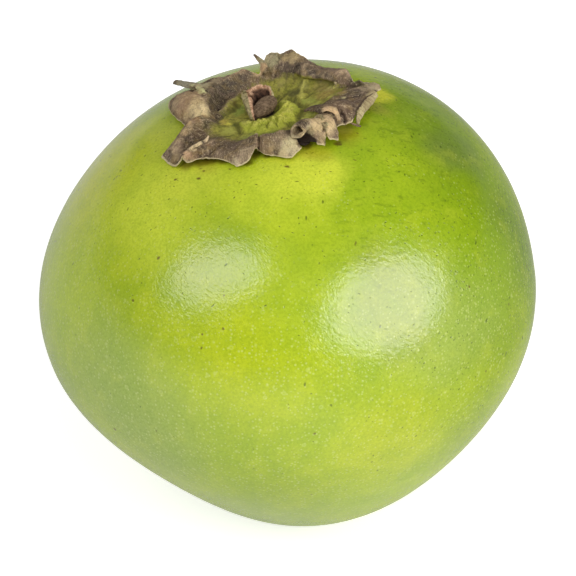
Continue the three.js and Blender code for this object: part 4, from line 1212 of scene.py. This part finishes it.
def makeCalyxMaterial():
    material, board, shader, place = newMaterial("driedCalyx")

    def kept(name):
        return board.add("ShaderNodeAttribute", {"attribute_name": name}, output=2)

    fromAxis, turn, reach, proud = kept("fromAxis"), kept("turn"), kept("reach"), kept("proud")
    under, pastGreen, collar = kept("under"), kept("pastGreen"), kept("collar")
    cosine, sine = [16.0 * board.maths(name, turn) for name in ("COSINE", "SINE")]
    spoke = board.joined(cosine, sine, fromAxis * 0.3)
    streaks = board.cloud(spoke, 1.0, detail=4.0, roughness=0.65)
    fibre = board.cloud(board.vector("MULTIPLY", spoke, (4.4, 4.4, 5.0)), 1.0, detail=2.0, roughness=0.6)
    patchy = board.cloud(place, 0.3, detail=4.0, roughness=0.6)
    tint = board.cloud(board.vector("ADD", place, (17.0, 5.0, 3.0)), 0.5, detail=3.0, roughness=0.6)
    speckle = board.cloud(place, 3.4, detail=2.0, roughness=0.7)
    bent = board.wandered(place, 0.6, 2.4)
    nudged = board.wandered(place, 0.6, 0.7)

    # a soft spot of colour at an azimuth, radius and lift on the crown
    def toned(colour, wandering, polar, inner, outer, strength, shade):
        azimuth, radius, lift = polar
        centre = tuple(float(v) for v in placed(lifted(radius, azimuth, lift)) / mm)
        return board.spot(colour, wandering, centre, inner, outer, strength, shade)

    # the disc: olive green with dark runs, brighter on the puckered collar, dead brown in the scar
    green = board.mixed(board.rise(streaks, 0.36, 0.6), calyxLook["discDark"], calyxLook["disc"])
    green = board.mixed(0.7 * board.rise(patchy, 0.5, 0.66), green, rgb(136, 138, 46))
    grit = board.cloud(board.vector("ADD", place, (3.0, 9.0, 1.0)), 1.2, detail=3.0, roughness=0.65)
    green = board.mixed(0.5 * board.rise(grit, 0.5, 0.62), green, rgb(168, 164, 74))
    green = board.mixed(0.5 * board.fall(grit, 0.38, 0.5), green, rgb(82, 84, 34))
    for azimuth, radius, size, strength, shade in calyxLook["greens"]:
        green = toned(green, bent, (azimuth, radius, 1.6), size * 0.4, size * 1.3, strength, shade)
    onCollar = board.rise(collar + 0.3 * (patchy - 0.5), 0.1, 0.3)
    green = board.mixed(0.95 * onCollar, green, calyxLook["collar"])
    for azimuth, radius, size, strength, shade in calyxLook["collarTones"]:
        share = strength * onCollar
        green = toned(green, nudged, (azimuth, radius, 2.6), size * 0.4, size * 1.3, share, shade)
    green = board.mixed(0.35 * board.rise(speckle, 0.46, 0.66) * onCollar, green, rgb(204, 200, 104))
    green = board.mixed(0.5 * board.rise(patchy, 0.46, 0.58) * onCollar, green, rgb(150, 158, 52))
    # painted highlight on the raised lumps and folds, painted shade in the grooves between them
    green = board.mixed(0.4 * board.rise(proud, 0.04, 0.25), green, rgb(206, 200, 104))
    green = board.mixed(0.65 * board.fall(proud, -0.24, -0.06), green, rgb(100, 100, 42))
    green = board.mixed(0.5 * board.fall(speckle, 0.34, 0.46), green, rgb(98, 98, 44))
    green = board.mixed(board.fall(fromAxis, 1.0, 2.0), green, rgb(52, 40, 30))

    # the dried lobes
    brown = board.mixed(board.rise(patchy, 0.36, 0.64), calyxLook["dark"], calyxLook["brown"])
    for azimuth, radius, lift, size, strength, shade in calyxLook["tones"]:
        wandering = bent if size > 1.2 else nudged    # a small spot keeps its place
        brown = toned(brown, wandering, (azimuth, radius, lift), size * 0.5, size * 1.15, strength, shade)
    # painted highlight on the raised ridges, painted shade in the hollows between folds
    brown = board.mixed(0.45 * board.rise(proud, 0.04, 0.3), brown, calyxLook["ridgeHighlight"])
    brown = board.mixed(0.7 * board.fall(proud, -0.28, -0.04), brown, rgb(48, 38, 30))
    brown = board.mixed(0.4 * board.rise(fibre, 0.52, 0.68), brown, rgb(56, 44, 34))
    brown = board.mixed(0.34 * board.fall(fibre, 0.32, 0.46), brown, rgb(198, 176, 142))
    brown = board.mixed(0.4 * board.rise(speckle, 0.56, 0.7), brown, rgb(210, 194, 160))
    brown = board.mixed(0.42 * board.fall(speckle, 0.32, 0.44), brown, rgb(50, 40, 32))
    brown = board.mixed(0.3 * board.rise(tint, 0.5, 0.68), brown, rgb(150, 126, 78))
    brown = board.mixed(0.25 * board.fall(tint, 0.32, 0.5), brown, rgb(128, 104, 96))

    wander = pastGreen + 4.5 * (streaks - 0.5) + 2.4 * (patchy - 0.5)
    colour = board.mixed(board.rise(wander, -0.9, 1.1), green, brown)
    edge = board.rise(reach + 0.03 * (speckle - 0.5), 0.965, 0.995)
    colour = board.mixed(0.75 * edge, colour, calyxLook["edge"])
    # painted shadow along the right lobe's fold
    colour = board.mixed(0.8 * board.fall(reach, -0.99, -0.93), colour, rgb(62, 48, 36))
    below = board.mixed(board.rise(patchy, 0.35, 0.65), rgb(186, 174, 132), rgb(150, 136, 102))
    below = board.mixed(0.6 * board.rise(fibre, 0.46, 0.62), below, rgb(108, 88, 60))
    below = board.mixed(0.5 * board.fall(speckle, 0.36, 0.5), below, rgb(120, 100, 72))
    colour = board.mixed(under, colour, below)
    for azimuth, radius, lift, size in calyxLook["shadows"]:
        polar = (azimuth, radius, lift)
        colour = toned(colour, nudged, polar, size * 0.8, size * 1.1, 1.0, calyxLook["shadowColour"])
    board.plug(shader.inputs["Base Color"], board.vector("MULTIPLY", colour, calyxLook["brighter"]))
    board.plug(shader.inputs["Roughness"], calyxLook["roughness"] + 0.1 * (patchy - 0.5))
    shader.inputs["Specular IOR Level"].default_value = calyxLook["gloss"]
    grit = board.cloud(place, 5.0, detail=2.0, roughness=0.6)
    roughen(board, shader, 0.9 * fibre + speckle + 0.6 * grit, calyxLook["grainDepth"])
    return material


fruitPiece = makeBerry(makeSkinMaterial())
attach(fruitPiece, "root")
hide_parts("fruit")
print("berry made", len(fruitPiece.data.polygons))

calyxPiece = makeCalyx(makeCalyxMaterial())
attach(calyxPiece, "root")
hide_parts("calyx")
print("calyx made", len(calyxPiece.data.polygons))

# the broken end of the stalk
stalk = {
    "steps": 96,
    # the bark sleeve's outer line at its rim: x and y, lift of the rim over the skin, wall
    "rim": [(-2.9, -3.2, 2.4, 0.7), (-3.2, -2.5, 2.8, 0.9), (-3.6, -1.1, 3.5, 1.3), (-4.1, 0.8, 4.3, 2.0),
            (-4.6, 2.3, 4.9, 2.3), (-4.5, 2.9, 5.1, 2.2), (-3.7, 3.6, 5.1, 1.5), (-2.0, 4.2, 5.2, 0.9),
            (-0.2, 4.5, 5.3, 0.8), (0.9, 4.0, 5.2, 0.8), (1.6, 3.0, 4.9, 0.8), (1.8, 2.0, 4.2, 0.8)],
    "flare": 0.9,             # how much narrower the sleeve is at its foot
    # round the wall's section, up its outside, over the broken rim and down its inside: shares of its
    # thickness and of its height
    "section": [(0.0, 0.0), (0.0, 0.4), (0.0, 0.76), (0.04, 0.88), (0.16, 0.93), (0.4, 0.97), (0.58, 1.0),
                (0.78, 0.98), (0.94, 0.89), (1.0, 0.65), (1.0, 0.3), (1.0, 0.0)],
    "relief": 0.16,           # of the bark, and the size of its lumps
    "lumps": 1.0,
    "coreRadii": (2.9, 1.7, 1.6),
    "coreTurn": 35.0,
    "coreTilt": 14.0,
    "corePlace": (-0.05, 0.55, 2.7),
    "coreRelief": 0.07,
    "coreLumps": 0.8,
    "roughness": 0.85,
    "gloss": 0.3,
    "grainDepth": 0.2,
}


def discTop(x, y):
    radius = np.hypot(x, y)
    azimuth = np.degrees(np.arctan2(y, x))
    return crownHeightAt(radius, azimuth) + discLift(radius, azimuth)


# a piece whose surface is roughened along its normals
def dressed(name, points, faces, material, depth, size):
    piece = meshPiece(name, placed(points), faces, material)
    mesh = piece.data
    normals = np.zeros(len(mesh.vertices) * 3, np.float32)
    mesh.vertex_normals.foreach_get("vector", normals)
    rough = cloudAt(points, size, 6, 3) + 0.6 * cloudAt(points * [1, 1, 0.4], size * 0.4, 8, 2)
    moved = placed(points) + normals.reshape(-1, 3) * (rough * depth * mm)[:, None]
    mesh.vertices.foreach_set("co", moved.astype(np.float32).reshape(-1))
    mesh.update()
    return piece


def makeSleeve(material):
    shares = np.linspace(0, 1, stalk["steps"])
    rim = throughPoints(stalk["rim"], shares)
    along = np.gradient(rim[:, :2], axis=0)
    inward = np.stack([along[:, 1], -along[:, 0]], -1)
    inward /= np.linalg.norm(inward, axis=1, keepdims=True)
    section = throughPoints(stalk["section"], np.linspace(0, 1, 40))
    inset, up = section.T
    narrow = stalk["flare"] + (1 - stalk["flare"]) * np.clip(up, 0, 1) ** 1.3
    loops = []
    for i, share in enumerate(shares):
        x, y, lift, wall = rim[i]
        tear = 0.14 * math.sin(31 * share) + 0.12 * math.sin(73 * share + 1)
        wall *= 1 + 0.12 * math.sin(19 * share)
        foot = float(discTop(x * stalk["flare"], y * stalk["flare"])) - 0.4
        top = float(crownHeightAt(math.hypot(x, y), math.degrees(math.atan2(y, x)))) + lift + tear
        onOutside = np.outer(narrow, [x, y]) + np.outer(inset * wall, inward[i])
        loops.append(np.column_stack([onOutside, foot + (top - foot) * up]))
    points, faces = loft(np.array(loops))
    piece = dressed("stalkSleeve", points, faces, material, stalk["relief"], stalk["lumps"])
    marks = np.tile(np.linspace(0, 1, len(section)), stalk["steps"])
    addAttribute(piece, "section", np.concatenate([marks, [0.5, 0.5]]))
    return piece


def makeCore(material):
    turn, tilt = math.radians(stalk["coreTurn"]), math.radians(stalk["coreTilt"])
    rows, columns = 50, 80
    loops = []
    for i in range(rows):
        polar = math.pi * (i + 0.5) / rows
        loop = []
        for j in range(columns):
            around = 2 * math.pi * j / columns
            # long axis along the loft, with a ridge and a groove along its top
            along = -math.cos(polar)
            side = math.sin(polar) * math.cos(around)
            up = math.sin(polar) * math.sin(around)
            ridge = 0.1 * math.exp(-((side - 0.45) / 0.2) ** 2)
            groove = 0.16 * math.exp(-((side - 0.72) / 0.14) ** 2)
            grow = 1 + (ridge - groove) * max(up, 0)
            a = along * stalk["coreRadii"][0] * (1 - 0.1 * along)
            b = side * stalk["coreRadii"][1] * grow
            c = up * stalk["coreRadii"][2] * grow
            a, c = a * math.cos(tilt) - c * math.sin(tilt), a * math.sin(tilt) + c * math.cos(tilt)
            a, b = a * math.cos(turn) - b * math.sin(turn), a * math.sin(turn) + b * math.cos(turn)
            loop.append((a, b, c))
        loops.append(loop)
    points, faces = loft(np.array(loops))
    x, y, lift = stalk["corePlace"]
    points = points + [x, y, float(crownHeightAt(0.0, 0.0)) + lift]
    return dressed("stalkCore", points, faces, material, stalk["coreRelief"], stalk["coreLumps"])


def finishStalk(board, shader, colour, grain):
    board.plug(shader.inputs["Base Color"], colour)
    shader.inputs["Roughness"].default_value = stalk["roughness"]
    shader.inputs["Specular IOR Level"].default_value = stalk["gloss"]
    roughen(board, shader, grain, stalk["grainDepth"])


def makeBarkMaterial():
    material, board, shader, place = newMaterial("stalkBark")
    section = board.add("ShaderNodeAttribute", {"attribute_name": "section"}, output=2)
    upright = board.vector("MULTIPLY", place, (1.0, 1.0, 0.35))
    grain = board.cloud(upright, 2.6, detail=4.0, roughness=0.65)
    outside = board.mixed(board.rise(grain, 0.35, 0.65), rgb(128, 118, 82), rgb(182, 168, 122))
    rim = board.mixed(board.rise(grain, 0.36, 0.64), rgb(160, 118, 88), rgb(214, 176, 142))
    inside = board.mixed(board.rise(grain, 0.35, 0.65), rgb(48, 34, 27), rgb(104, 74, 56))
    colour = board.mixed(board.rise(section + 0.16 * (grain - 0.5), 0.5, 0.57), outside, rim)
    colour = board.mixed(board.rise(section + 0.1 * (grain - 0.5), 0.7, 0.78), colour, inside)
    finishStalk(board, shader, colour, grain)
    return material


def makeCoreMaterial():
    material, board, shader, place = newMaterial("stalkWood")
    lengthwise = board.vector("MULTIPLY", place, (0.5, 1.1, 1.1))
    grain = board.cloud(lengthwise, 2.8, detail=4.0, roughness=0.65)
    colour = board.mixed(board.rise(grain, 0.34, 0.66), rgb(84, 67, 50), rgb(138, 115, 90))
    finishStalk(board, shader, colour, grain)
    return material


sleevePiece = makeSleeve(makeBarkMaterial())
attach(sleevePiece, "root")
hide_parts("stalk_sleeve")
corePiece = makeCore(makeCoreMaterial())
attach(corePiece, "root")
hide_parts("stalk_core")
print("stalk made", len(sleevePiece.data.polygons), len(corePiece.data.polygons))


# the studio
studio = {
    "elevation": 34.55,            # degrees above the table, looking along +Y
    "distance": 611.0,             # from the berry's centre
    "lens": 189.4,
    "aside": (-2.59, 2.57),        # the aim, right of and above the berry's centre
    # two big soft lamps, front right and front left: azimuth and elevation, the turn about its own beam
    "keyPlace": (-43.3, 25.0),
    "keySize": (880.0, 605.0),
    "keyRoll": -18.6,
    "keyRadiance": 4.05,
    "fillPlace": (-142.9, 43.4),
    "fillSize": (585.0, 358.0),
    "fillRoll": 33.7,
    "fillRadiance": 3.25,
    "lampDistance": 800.0,
    "ambient": 0.42,               # the room's own light on the berry
    "wallTop": (0.0, 0.14),        # where gloss sees the white wall give way to the dim room: sines
    "wallGloss": 0.9,
    "roomGloss": 0.08,
    "dimRight": 0.6,               # gloss sees the wall and the table darker on the right
    "tableColour": rgb(232, 232, 230),
    "tableWidth": 12000.0,
    "tableGlow": (0.62, 1.0),      # light the table adds of its own, near the berry and far off
    "glowReach": (60.0, 420.0),
    "tableGloss": 0.05,            # the share of that light that gloss sees
}


def makeCamera():
    elevation = math.radians(studio["elevation"])
    forward = np.array([0, math.cos(elevation), -math.sin(elevation)])
    up = np.array([0, math.sin(elevation), math.cos(elevation)])
    right, above = studio["aside"]
    aim = berryCentre + np.array([right, 0, 0]) + up * above
    data = bpy.data.cameras.new("camera")
    data.lens = studio["lens"]
    data.clip_start = 0.05
    data.clip_end = 20
    camera = bpy.data.objects.new("camera", data)
    camera.location = Vector((aim - forward * studio["distance"]) * mm)
    camera.rotation_euler = (math.pi / 2 - elevation, 0, 0)
    bpy.context.collection.objects.link(camera)
    bpy.context.scene.camera = camera


def makeLamp(name, place, size, roll, radiance):
    towards = directionAt(*place)
    data = bpy.data.lights.new(name, "AREA")
    data.shape = "ELLIPSE"
    data.size = size[0] * mm
    data.size_y = size[1] * mm
    # an area lamp's radiance is its power over its area and pi
    data.energy = radiance * math.pi * data.size * data.size_y * math.pi / 4
    lamp = bpy.data.objects.new(name, data)
    lamp.location = Vector((berryCentre + towards * studio["lampDistance"]) * mm)
    aimed = Vector(towards).to_track_quat("Z", "Y") @ Quaternion((0, 0, 1), math.radians(roll))
    lamp.rotation_euler = aimed.to_euler()
    bpy.context.collection.objects.link(lamp)


# whether a ray comes from the camera, from gloss or through glass
def rayKinds(board):
    path = board.add("ShaderNodeLightPath")
    names = ("Is Camera Ray", "Is Glossy Ray", "Is Transmission Ray")
    return [Wire(board, path.socket.node.outputs[name]) for name in names]


def makeWorld():
    world = bpy.data.worlds.new("studio")
    world.use_nodes = True
    bpy.context.scene.world = world
    board = Board(world.node_tree)
    background = world.node_tree.nodes["Background"]
    seen, gloss, through = rayKinds(board)
    across, _, height = board.parts(board.add("ShaderNodeTexCoord", output=0))
    dim, bright = studio["roomGloss"], studio["wallGloss"]
    wall = dim + (bright - dim) * board.fall(height, *studio["wallTop"])
    wall = wall * (1 - studio["dimRight"] * board.rise(across, -0.2, 0.8))
    mirrored = board.maths("MAXIMUM", gloss, through)
    shown = board.maths("MAXIMUM", seen, mirrored * wall)
    lighting = studio["ambient"] * (1 - board.maths("MAXIMUM", seen, mirrored))
    board.plug(background.inputs["Color"], (1.0, 1.0, 1.0, 1.0))
    board.plug(background.inputs["Strength"], shown + lighting)


def makeFloor():
    material, board, shader, place = newMaterial("paleTable")
    shader.inputs["Roughness"].default_value = 1.0
    shader.inputs["Specular IOR Level"].default_value = 0.0
    # the table looks white from the camera, and still takes the berry's shadow
    x, y, _ = board.parts(place)
    away = board.maths("SQRT", x * x + y * y)
    low, high = studio["tableGlow"]
    glow = low + (high - low) * board.rise(away, *studio["glowReach"])
    seen, gloss, through = rayKinds(board)
    dimmed = studio["dimRight"] * gloss * board.rise(x, 30.0, 110.0)
    black, white = rgb(0, 0, 0), rgb(255, 255, 255)
    board.plug(shader.inputs["Base Color"], board.mixed(dimmed, studio["tableColour"], black))
    seen = board.maths("MAXIMUM", board.maths("MAXIMUM", seen, through), gloss * studio["tableGloss"])
    board.plug(shader.inputs["Emission Color"], board.mixed(glow * seen, black, white))
    shader.inputs["Emission Strength"].default_value = 1.0
    half = studio["tableWidth"] / 2 * mm
    corners = [(-half, -half, 0), (half, -half, 0), (half, half, 0), (-half, half, 0)]
    floor = meshPiece("table", corners, [(0, 1, 2, 3)], material)
    return floor


makeCamera()
for lamp in ("key", "fill"):
    makeLamp(lamp + "Lamp", *[studio[lamp + part] for part in ("Place", "Size", "Roll", "Radiance")])
makeWorld()
makeFloor()
bpy.context.scene.view_settings.view_transform = "Standard"
print("studio made")
